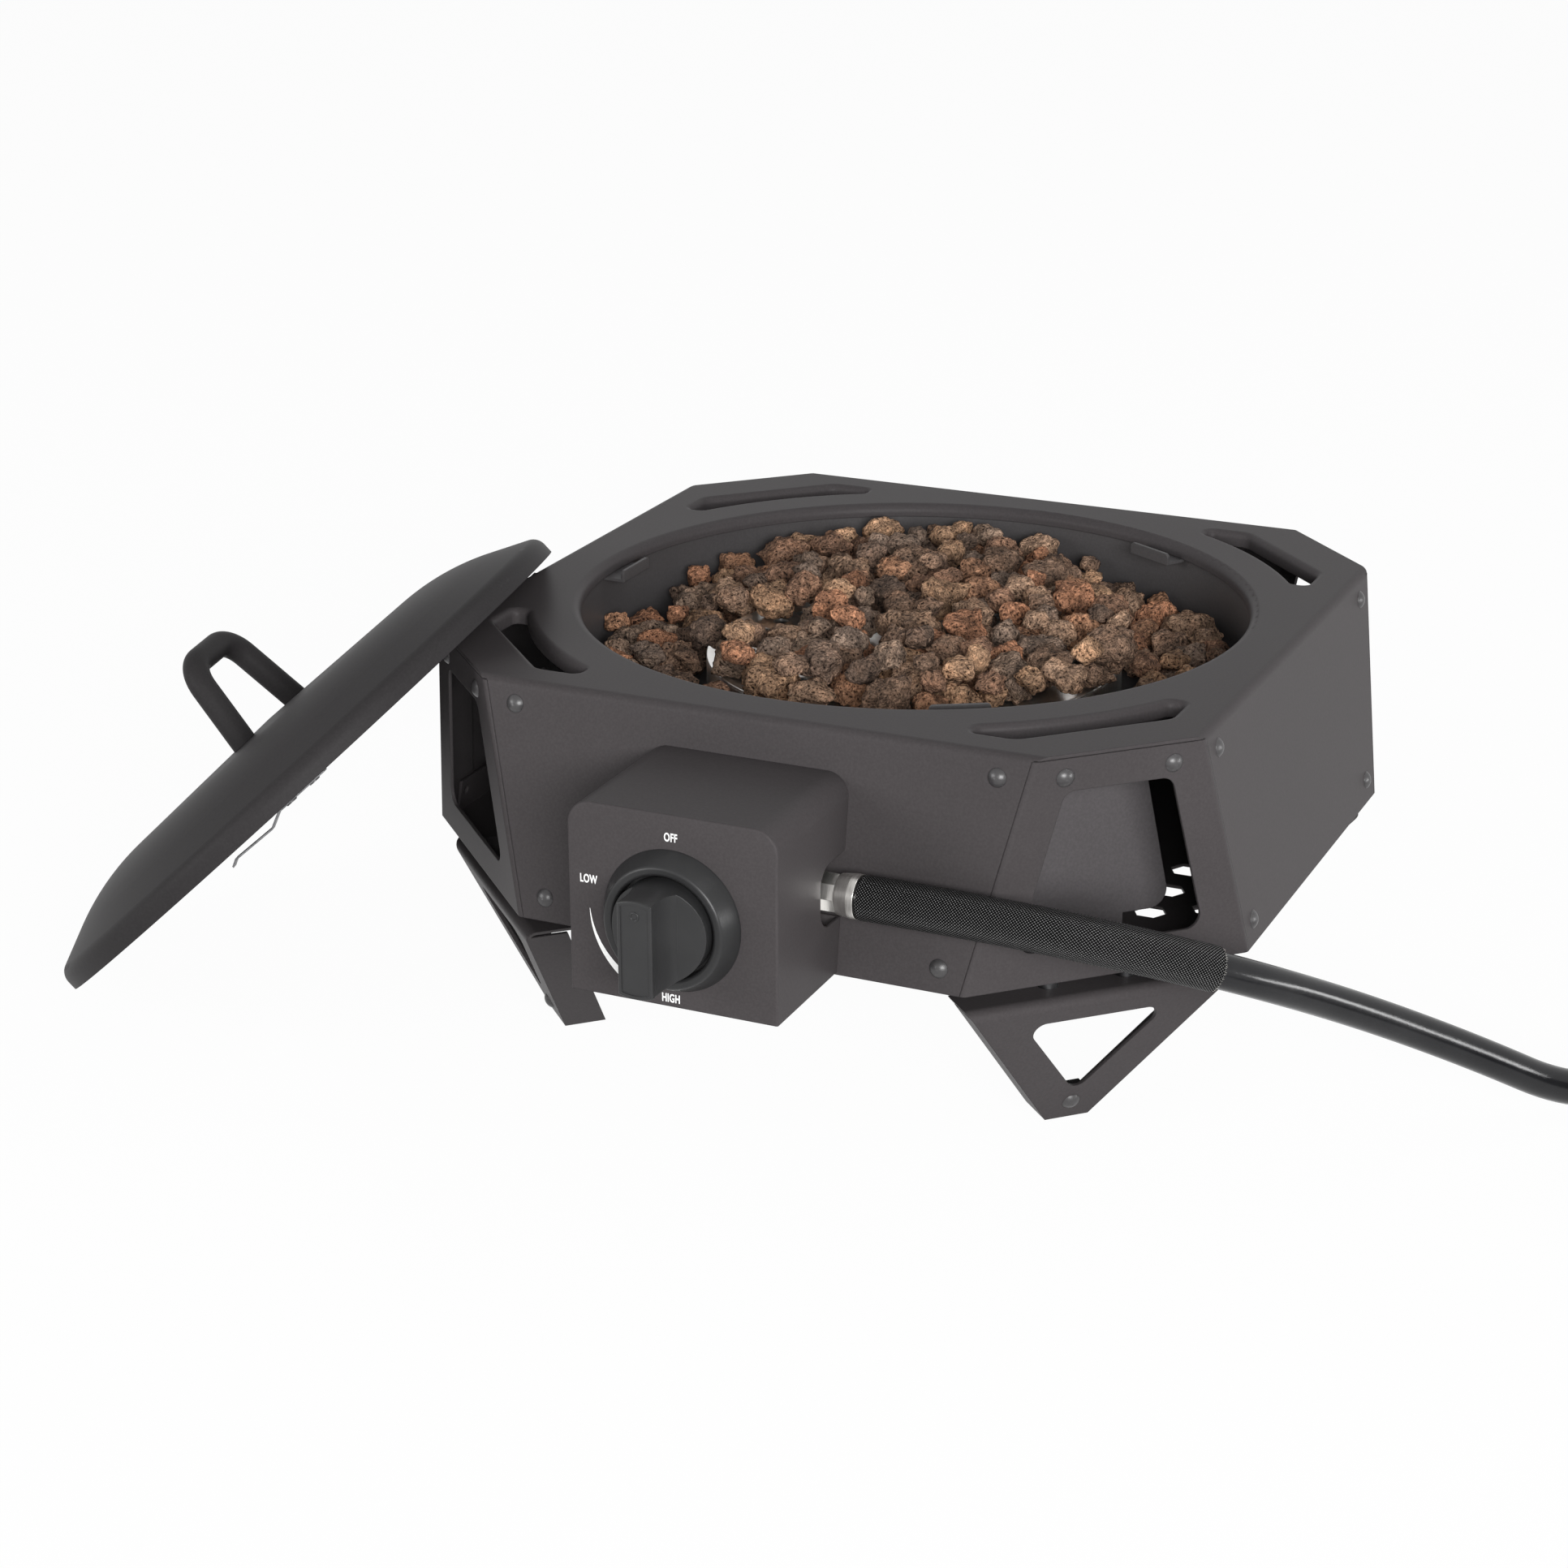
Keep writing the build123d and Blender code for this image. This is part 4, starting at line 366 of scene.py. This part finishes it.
# Gas hose: the route's points, then the coil's turns, on one smooth line
ROUTE = [
    (0.0500, -0.1955, 0.1180),
    (0.1040, -0.1955, 0.1180),
    (0.1580, -0.1935, 0.1156),
    (0.2050, -0.1630, 0.0980),
    (0.2400, -0.1100, 0.0675),
    (0.2790, -0.0690, 0.0387),
    (0.3170, -0.0320, 0.0090),
    (0.3500, -0.0010, 0.0096),
    (0.3760, 0.0315, 0.0096),
]
HOSE_D = 0.015
COIL_FIRST, COIL_STEP, COIL_LAYER, COIL_HALVES, COIL_TAIL = 0.104, 0.0159, 0.0159, 4, 0.046
HALF_TURN_POINTS = 7


def coil_points():
    """Control points of the coil: half turns that shrink inward, climb one layer and grow again."""
    start = Vector(ROUTE[-1])
    heading = start - Vector(ROUTE[-2])
    heading.z = 0
    heading.normalize()
    radii = [COIL_FIRST - COIL_STEP / 2 * k for k in range(COIL_HALVES + 1)]
    plan = radii + radii[:-1][::-1]
    here = start + heading * HOSE_D
    # a quadratic line runs inside its control points by this much
    grow = 8 / (6 + 2 * math.cos(math.pi / HALF_TURN_POINTS))
    pts = []
    for k, r in enumerate(plan):
        right = Vector((heading.y, -heading.x, 0))
        centre = here + right * r
        climb = COIL_LAYER if k == COIL_HALVES else 0.0
        for i in range(HALF_TURN_POINTS):
            t = (i + 0.5) / HALF_TURN_POINTS
            a = math.pi * t
            p = centre + (right * -math.cos(a) + heading * math.sin(a)) * r * grow
            ease = t * t * (3 - 2 * t)
            pts.append(p + Vector((0, 0, climb * ease)))
        here = here + right * (2 * r) + Vector((0, 0, climb))
        heading = -heading
    pts.append(here + heading * (COIL_TAIL / 2))
    pts.append(here + heading * COIL_TAIL)
    return pts


def nurbs(name, points):
    """A smooth quadratic line that starts at the first point and ends at the last."""
    cu = bpy.data.curves.new(name, "CURVE")
    cu.dimensions = "3D"
    sp = cu.splines.new("NURBS")
    sp.points.add(len(points) - 1)
    for p, q in zip(sp.points, points):
        p.co = (q[0], q[1], q[2], 1.0)
    sp.order_u = 3
    sp.use_endpoint_u = True
    sp.resolution_u = 12
    ob = bpy.data.objects.new(name, cu)
    scene.collection.objects.link(ob)
    return ob


hose_line = ROUTE + [tuple(p) for p in coil_points()]
hose = nurbs("gas_hose_line", hose_line)
hose.data.bevel_depth = HOSE_D / 2
hose.data.bevel_resolution = 7
hose.data.use_fill_caps = True
hose.data.materials.append(M_HOSE)
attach(hose, "pit")
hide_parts("gas_hose", "hose_coil")

# Braided sleeve over the first of the hose
SLEEVE_LONG, SLEEVE_OUTER, SLEEVE_INNER, SLEEVE_SIDES = 0.146, 0.0093, 0.0077, 40
WEAVE_PITCH, WEAVE_ROUND, WEAVE_TUCK = 0.00133, 44.0, 0.8
LINE_STEPS, SAME_PLACE = 40, 1e-6
UPWARD = Vector((0, 0, 1))


def line_points(points):
    """Places along the smooth line, read from the curve itself."""
    probe = nurbs("probe", points)
    probe.data.splines[0].resolution_u = LINE_STEPS
    dep = bpy.context.evaluated_depsgraph_get()
    me = bpy.data.meshes.new_from_object(probe.evaluated_get(dep))
    out = [v.co.copy() for v in me.vertices]
    bpy.data.objects.remove(probe)
    bpy.data.meshes.remove(me)
    return out


def make_sleeve():
    """The woven tube with turned-in ends, and the place and direction of its far end."""
    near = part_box("hose_sleeve")[0]
    pts = [p for p in line_points(ROUTE) if near[0] - SAME_PLACE <= p.x]
    gone, cut = 0.0, 0
    while gone < SLEEVE_LONG:
        cut += 1
        gone += (pts[cut] - pts[cut - 1]).length
    pts = pts[:cut + 1]
    verts, uvs, faces = [], [], []
    run = 0.0
    for i, p in enumerate(pts):
        a, b = pts[max(0, i - 1)], pts[min(len(pts) - 1, i + 1)]
        t = (b - a).normalized()
        side = t.cross(UPWARD).normalized()
        up = side.cross(t)
        if i:
            run += (p - pts[i - 1]).length
        for k in range(SLEEVE_SIDES + 1):
            w = 2 * math.pi * k / SLEEVE_SIDES
            verts.append(p + (side * math.cos(w) + up * math.sin(w)) * SLEEVE_OUTER)
            uvs.append((run / WEAVE_PITCH, WEAVE_ROUND * k / SLEEVE_SIDES))
    ring = SLEEVE_SIDES + 1
    for i in range(len(pts) - 1):
        for k in range(SLEEVE_SIDES):
            here, there = i * ring + k, (i + 1) * ring + k
            faces.append((here, here + 1, there + 1, there))
    for i, way in ((0, -1), (len(pts) - 1, 1)):
        base = len(verts)
        for k in range(ring):
            edge = i * ring + k
            verts.append(pts[i] + (verts[edge] - pts[i]) * (SLEEVE_INNER / SLEEVE_OUTER))
            uvs.append((uvs[edge][0] + WEAVE_TUCK * way, uvs[edge][1]))
        for k in range(SLEEVE_SIDES):
            edge = i * ring + k
            face = (edge, edge + 1, base + k + 1, base + k)
            faces.append(face[::way * -1])
    ob = mesh_object("hose_sleeve_braid", verts, faces, M_BRAID, True)
    layer = ob.data.uv_layers.new(name="UVMap")
    for loop in ob.data.loops:
        layer.data[loop.index].uv = uvs[loop.vertex_index]
    return ob, pts[-1], (pts[-1] - pts[-3]).normalized()


sleeve, cut_at, cut_dir = make_sleeve()
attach(sleeve, "pit")
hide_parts("hose_sleeve")

FIBRES, FIBRE_WIDE, FIBRE_ROOT = 150, 0.00014, 0.0006
FIBRE_RING = (0.0082, 0.0091)
FIBRE_LENGTHS = (0.0006, 0.0008, 0.001, 0.0013)
FIBRE_JITTER, FIBRE_SPLAY, FIBRE_SWAY = 0.4, (-0.1, 0.35), (-0.5, 0.5)
FRAY_SEED = 5


def make_fray():
    """Cut fibre ends round the sleeve's far edge, each a thin closed spike."""
    rnd = random.Random(FRAY_SEED)
    side = cut_dir.cross(UPWARD).normalized()
    up = side.cross(cut_dir)
    verts, faces = [], []
    for k in range(FIBRES):
        w = 2 * math.pi * (k + rnd.uniform(-FIBRE_JITTER, FIBRE_JITTER)) / FIBRES
        out = side * math.cos(w) + up * math.sin(w)
        tan = up * math.cos(w) - side * math.sin(w)
        root = cut_at + out * rnd.uniform(*FIBRE_RING) - cut_dir * FIBRE_ROOT
        long = rnd.choice(FIBRE_LENGTHS)
        lean = cut_dir + out * rnd.uniform(*FIBRE_SPLAY) + tan * rnd.uniform(*FIBRE_SWAY)
        tip = root + lean.normalized() * (long + FIBRE_ROOT)
        base = len(verts)
        verts += [root + tan * FIBRE_WIDE, root - tan * FIBRE_WIDE, root + out * FIBRE_WIDE, tip]
        faces += [(base, base + 1, base + 3), (base + 1, base + 2, base + 3),
                  (base + 2, base, base + 3), (base, base + 2, base + 1)]
    ob = mesh_object("sleeve_cut_fibres", verts, faces, M_FRAY)
    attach(ob, "pit")
    return ob


fray = make_fray()

# Lava rocks: each CAD lump becomes a rough, pitted rock in the same place
ROCK_SEED, ROCK_LEVEL, ROCK_LEVEL_QUICK = 11, 4, 2
HULL_POWER = 26.0  # a higher power keeps the lump's edges sharper
TO_MM, SHIFT_RANGE = 1000.0, (-9, 9)
LUMP_SCALE, CREASE_SCALE, GRIT_SCALE = 0.11, 0.2, 0.8
LUMP, CREASE, CREASE_TOP, GRIT, SINK = 0.30, 0.36, 0.5, 0.11, 0.08
ROCK_SWELL, ROUGH_SIZE = 1.11, 0.011
# Painted light and shade on the rocks: each point's tint is made lighter on the crests and darker in the
# creases, by how far the point stands out
RELIEF_SHADING_BASE, RELIEF_SHADING_GAIN, RELIEF_SHADING_RANGE = 1.3, 2.0, (0.3, 1.8)
TINT_RANGE = (0.75, 1.2)
TINTS = [
    (0.400, 0.220, 0.135), (0.300, 0.176, 0.118), (0.470, 0.235, 0.140), (0.270, 0.176, 0.125),
    (0.310, 0.220, 0.165), (0.480, 0.300, 0.190), (0.200, 0.138, 0.105), (0.420, 0.275, 0.190),
    (0.250, 0.182, 0.142),
]


def rock_islands(obj):
    """The points and the planes of each separate lump in the node."""
    bm = bmesh.new()
    bm.from_mesh(obj.data)
    bmesh.ops.remove_doubles(bm, verts=bm.verts, dist=SAME_PLACE)
    bm.verts.ensure_lookup_table()
    seen, groups = set(), []
    for v in bm.verts:
        if v.index in seen:
            continue
        stack, got, planes = [v], [], {}
        seen.add(v.index)
        while stack:
            x = stack.pop()
            got.append(x.co.copy())
            for f in x.link_faces:
                planes[f.index] = (f.normal.copy(), f.verts[0].co.copy())
            for e in x.link_edges:
                y = e.other_vert(x)
                if y.index not in seen:
                    seen.add(y.index)
                    stack.append(y)
        groups.append((got, list(planes.values())))
    bm.free()
    return groups


def unit_ball(level):
    """Points and faces of an even ball of radius one."""
    bm = bmesh.new()
    bmesh.ops.create_icosphere(bm, subdivisions=level, radius=1.0)
    verts = np.array([v.co[:] for v in bm.verts])
    faces = [tuple(v.index for v in f.verts) for f in bm.faces]
    bm.free()
    return verts, faces


def roughen(point, shift):
    """How far a place on a rock stands out, as a share of the rock's size."""
    q = Vector(point) * TO_MM
    lump = noise.noise(q * LUMP_SCALE + shift)
    cell = noise.voronoi(q * CREASE_SCALE + shift)[0]
    grit = noise.turbulence(q * GRIT_SCALE + shift, 2, True)
    return LUMP * lump + CREASE * min(cell[1] - cell[0], CREASE_TOP) - GRIT * grit - SINK


def make_rocks():
    """All the rocks as one piece, with a tint for each rock that carries painted light on its crests and
    painted shade in its creases.
    """
    rnd = random.Random(ROCK_SEED)
    ball, ball_faces = unit_ball(ROCK_LEVEL)
    verts, faces, tints_with_relief_shading = [], [], []
    for got, planes in rock_islands(nodes["lava_rocks"]):
        c = sum(got, Vector()) / len(got)
        normals = np.array([p[0][:] for p in planes])
        offs = np.array([p[0].dot(p[1] - c) for p in planes])
        size = float(np.mean(offs))
        share = np.maximum(ball @ normals.T, 0.0) / offs
        reach = (share ** HULL_POWER).sum(axis=1) ** (-1 / HULL_POWER)
        shift = Vector([rnd.uniform(*SHIFT_RANGE) for _ in range(3)])
        body = ball * reach[:, None]
        amount = np.array([roughen(p, shift) for p in body])
        out = body * (ROCK_SWELL + amount * min(1.0, ROUGH_SIZE / size))[:, None] + np.array(c[:])
        base = len(verts)
        verts.extend(out.tolist())
        faces.extend([tuple(base + k for k in f) for f in ball_faces])
        tint = np.array(rnd.choice(TINTS)) * rnd.uniform(*TINT_RANGE)
        # painted highlight on the crests and painted shade in the creases, baked into the point tints
        for relief_shading in np.clip(RELIEF_SHADING_BASE + RELIEF_SHADING_GAIN * amount, *RELIEF_SHADING_RANGE):
            tints_with_relief_shading.append((*(tint * relief_shading), 1.0))
    ob = mesh_object("lava_rock_pile", verts, faces, M_ROCK, True)
    layer = ob.data.color_attributes.new("tint", "FLOAT_COLOR", "POINT")
    layer.data.foreach_set("color", [x for t in tints_with_relief_shading for x in t])
    return ob


rocks = make_rocks()
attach(rocks, "pit")
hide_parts("lava_rocks")

# Markings on the control box's face: each word's place across, its height and its alignment
FACE_Y, KNOB_Z = -0.248, 0.118
WORDS = {
    "OFF": (0.0, 0.1515, "CENTER"),
    "LOW": (-0.0404, 0.1282, "LEFT"),
    "HIGH": (-0.0050, 0.0830, "LEFT"),
}
CAP_HEIGHT, CAP_SHARE = 0.0034, 0.69
LETTER_BOLD, LETTER_RAISE, LETTER_GAP, LETTER_NARROW = 0.00012, 0.00004, 1.08, 0.64
ARC_FROM, ARC_SWEEP, ARC_STEPS = 181, 70, 28
ARC_RADIUS, ARC_THIN, ARC_SWELL, ARC_RAISE = 0.0363, 0.0002, 0.0041, 0.00008


def make_word(text, x, z, align):
    """A setting word in narrow capitals, flat on the face."""
    name = "word_" + text.lower()
    cu = bpy.data.curves.new(name, "FONT")
    cu.body = text
    cu.align_x = align
    cu.size = CAP_HEIGHT / CAP_SHARE
    cu.offset = LETTER_BOLD
    cu.extrude = LETTER_RAISE
    cu.space_character = LETTER_GAP
    cu.materials.append(M_MARK)
    ob = bpy.data.objects.new(name, cu)
    stand = Matrix.Rotation(math.pi / 2, 4, "X") @ Matrix.Scale(LETTER_NARROW, 4, (1, 0, 0))
    ob.matrix_world = Matrix.Translation((x, FACE_Y - LETTER_RAISE, z)) @ stand
    scene.collection.objects.link(ob)
    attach(ob, "pit")


for word, (across, level, align) in WORDS.items():
    make_word(word, across, level, align)


def make_sweep_mark():
    """The swelling arc that leads from low to high."""
    verts = []
    for i in range(ARC_STEPS + 1):
        t = i / ARC_STEPS
        a = math.radians(ARC_FROM + ARC_SWEEP * t)
        for r in (ARC_RADIUS, ARC_RADIUS - (ARC_THIN + ARC_SWELL * t)):
            verts.append((r * math.cos(a), FACE_Y - ARC_RAISE, KNOB_Z + r * math.sin(a)))
    faces = [(2 * i, 2 * i + 1, 2 * i + 3, 2 * i + 2) for i in range(ARC_STEPS)]
    ob = mesh_object("setting_arc", verts, faces, M_MARK)
    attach(ob, "pit")


make_sweep_mark()

KNOB_RECESS = 0.0005
RING_RADIUS, RING_TUBE, RING_FLAT, RING_UP = 0.00165, 0.0004, 0.9, 0.0142
RING_STEPS, RING_SIDES = 28, 8


def make_knob_ring():
    """The small ring that marks the knob's pointing end, on its recessed face."""
    face_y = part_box("knob")[0][1] + KNOB_RECESS
    verts, faces = [], []
    for i in range(RING_STEPS):
        a = 2 * math.pi * i / RING_STEPS
        ahead = (i + 1) % RING_STEPS
        for k in range(RING_SIDES):
            b = 2 * math.pi * k / RING_SIDES
            r = RING_RADIUS + RING_TUBE * math.cos(b)
            verts.append((r * math.cos(a), face_y - RING_TUBE * RING_FLAT * math.sin(b),
                          KNOB_Z + RING_UP + r * math.sin(a)))
            beside = (k + 1) % RING_SIDES
            faces.append((i * RING_SIDES + k, ahead * RING_SIDES + k,
                          ahead * RING_SIDES + beside, i * RING_SIDES + beside))
    ob = mesh_object("knob_pointer_ring", verts, faces, M_KNOB)
    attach(ob, "knob_turn")


make_knob_ring()

# Floor, light and background
FLOOR_HALF, FLOOR_TONE, FLOOR_GLOW = 9, 0.9, 0.965
SKY_TINT, SKY_STRENGTH = (0.95, 0.97, 1.0, 1), 0.12
WHITE = (1, 1, 1, 1)
LAMPS = {  # place, aim, size and watts
    "key": ((1.5, -2.2, 0.9), (0, 0, 0.1), (1.5, 0.8), 92),
    "fill": ((-1.7, -1.9, 0.8), (0, 0, 0.1), (1.2, 0.8), 24),
    "top": ((0.9, 0.5, 1.9), (0.3, -0.05, 0.05), (1.8, 0.06), 7),
    "side": ((1.9, 0.25, 0.2), (0.25, -0.08, 0.05), (0.9, 0.22), 12),
}


def emptied(owner):
    """The owner's node tree with nothing in it, and a way to add a node to it."""
    owner.use_nodes = True
    tree = owner.node_tree
    tree.nodes.clear()
    return tree, tree.nodes.new


def combine(tree, op, a, b):
    """A sum on a socket and another socket or a number."""
    m = tree.nodes.new("ShaderNodeMath")
    m.operation = op
    tree.links.new(a, m.inputs[0])
    if isinstance(b, float):
        m.inputs[1].default_value = b
    else:
        tree.links.new(b, m.inputs[1])
    return m


def mix_to(tree, output, share, first, second):
    """Two shaders mixed by a share, into the output node."""
    mix = tree.nodes.new("ShaderNodeMixShader")
    for pin, source in enumerate((share, first, second)):
        tree.links.new(source, mix.inputs[pin])
    tree.links.new(mix.outputs[0], output.inputs["Surface"])


def make_floor():
    """A floor that is white to the eye and in reflections, and keeps a faint shadow."""
    m = bpy.data.materials.new("floor_white")
    tree, new = emptied(m)
    plain = new("ShaderNodeBsdfDiffuse")
    plain.inputs["Color"].default_value = (FLOOR_TONE, FLOOR_TONE, FLOOR_TONE, 1)
    glow = new("ShaderNodeEmission")
    glow.inputs["Color"].default_value = WHITE
    glow.inputs["Strength"].default_value = 1.0
    ray = new("ShaderNodeLightPath").outputs
    seen = combine(tree, "ADD", ray["Is Camera Ray"], ray["Is Glossy Ray"])
    share = combine(tree, "MULTIPLY", seen.outputs[0], FLOOR_GLOW)
    share.use_clamp = True
    mix_to(tree, new("ShaderNodeOutputMaterial"), share.outputs[0], plain.outputs[0], glow.outputs[0])
    h = FLOOR_HALF
    ob = mesh_object("floor", [(-h, -h, 0), (h, -h, 0), (h, h, 0), (-h, h, 0)], [(0, 1, 2, 3)], m)


def make_world():
    """A background that is white where it is seen, and a soft sky where it lights the part."""
    scene.world = bpy.data.worlds.new("studio")
    tree, new = emptied(scene.world)
    sky, white = new("ShaderNodeBackground"), new("ShaderNodeBackground")
    for node, tint, strength in ((sky, SKY_TINT, SKY_STRENGTH), (white, WHITE, 1.0)):
        node.inputs["Color"].default_value = tint
        node.inputs["Strength"].default_value = strength
    ray = new("ShaderNodeLightPath").outputs
    seen = combine(tree, "MAXIMUM", ray["Is Camera Ray"], ray["Is Glossy Ray"])
    share = combine(tree, "MAXIMUM", seen.outputs[0], ray["Is Transmission Ray"])
    mix_to(tree, new("ShaderNodeOutputWorld"), share.outputs[0], sky.outputs[0], white.outputs[0])


def make_lamp(name, place, aim, size, watts):
    """A soft rectangular lamp that faces the place it is aimed at."""
    data = bpy.data.lights.new(name, "AREA")
    data.shape = "RECTANGLE"
    data.size, data.size_y = size
    data.energy = watts
    ob = bpy.data.objects.new(name, data)
    ob.location = place
    ob.rotation_euler = (Vector(aim) - Vector(place)).to_track_quat("-Z", "Y").to_euler()
    scene.collection.objects.link(ob)


make_floor()
make_world()
for lamp, facts in LAMPS.items():
    make_lamp(lamp, *facts)

scene.view_settings.view_transform = "Standard"
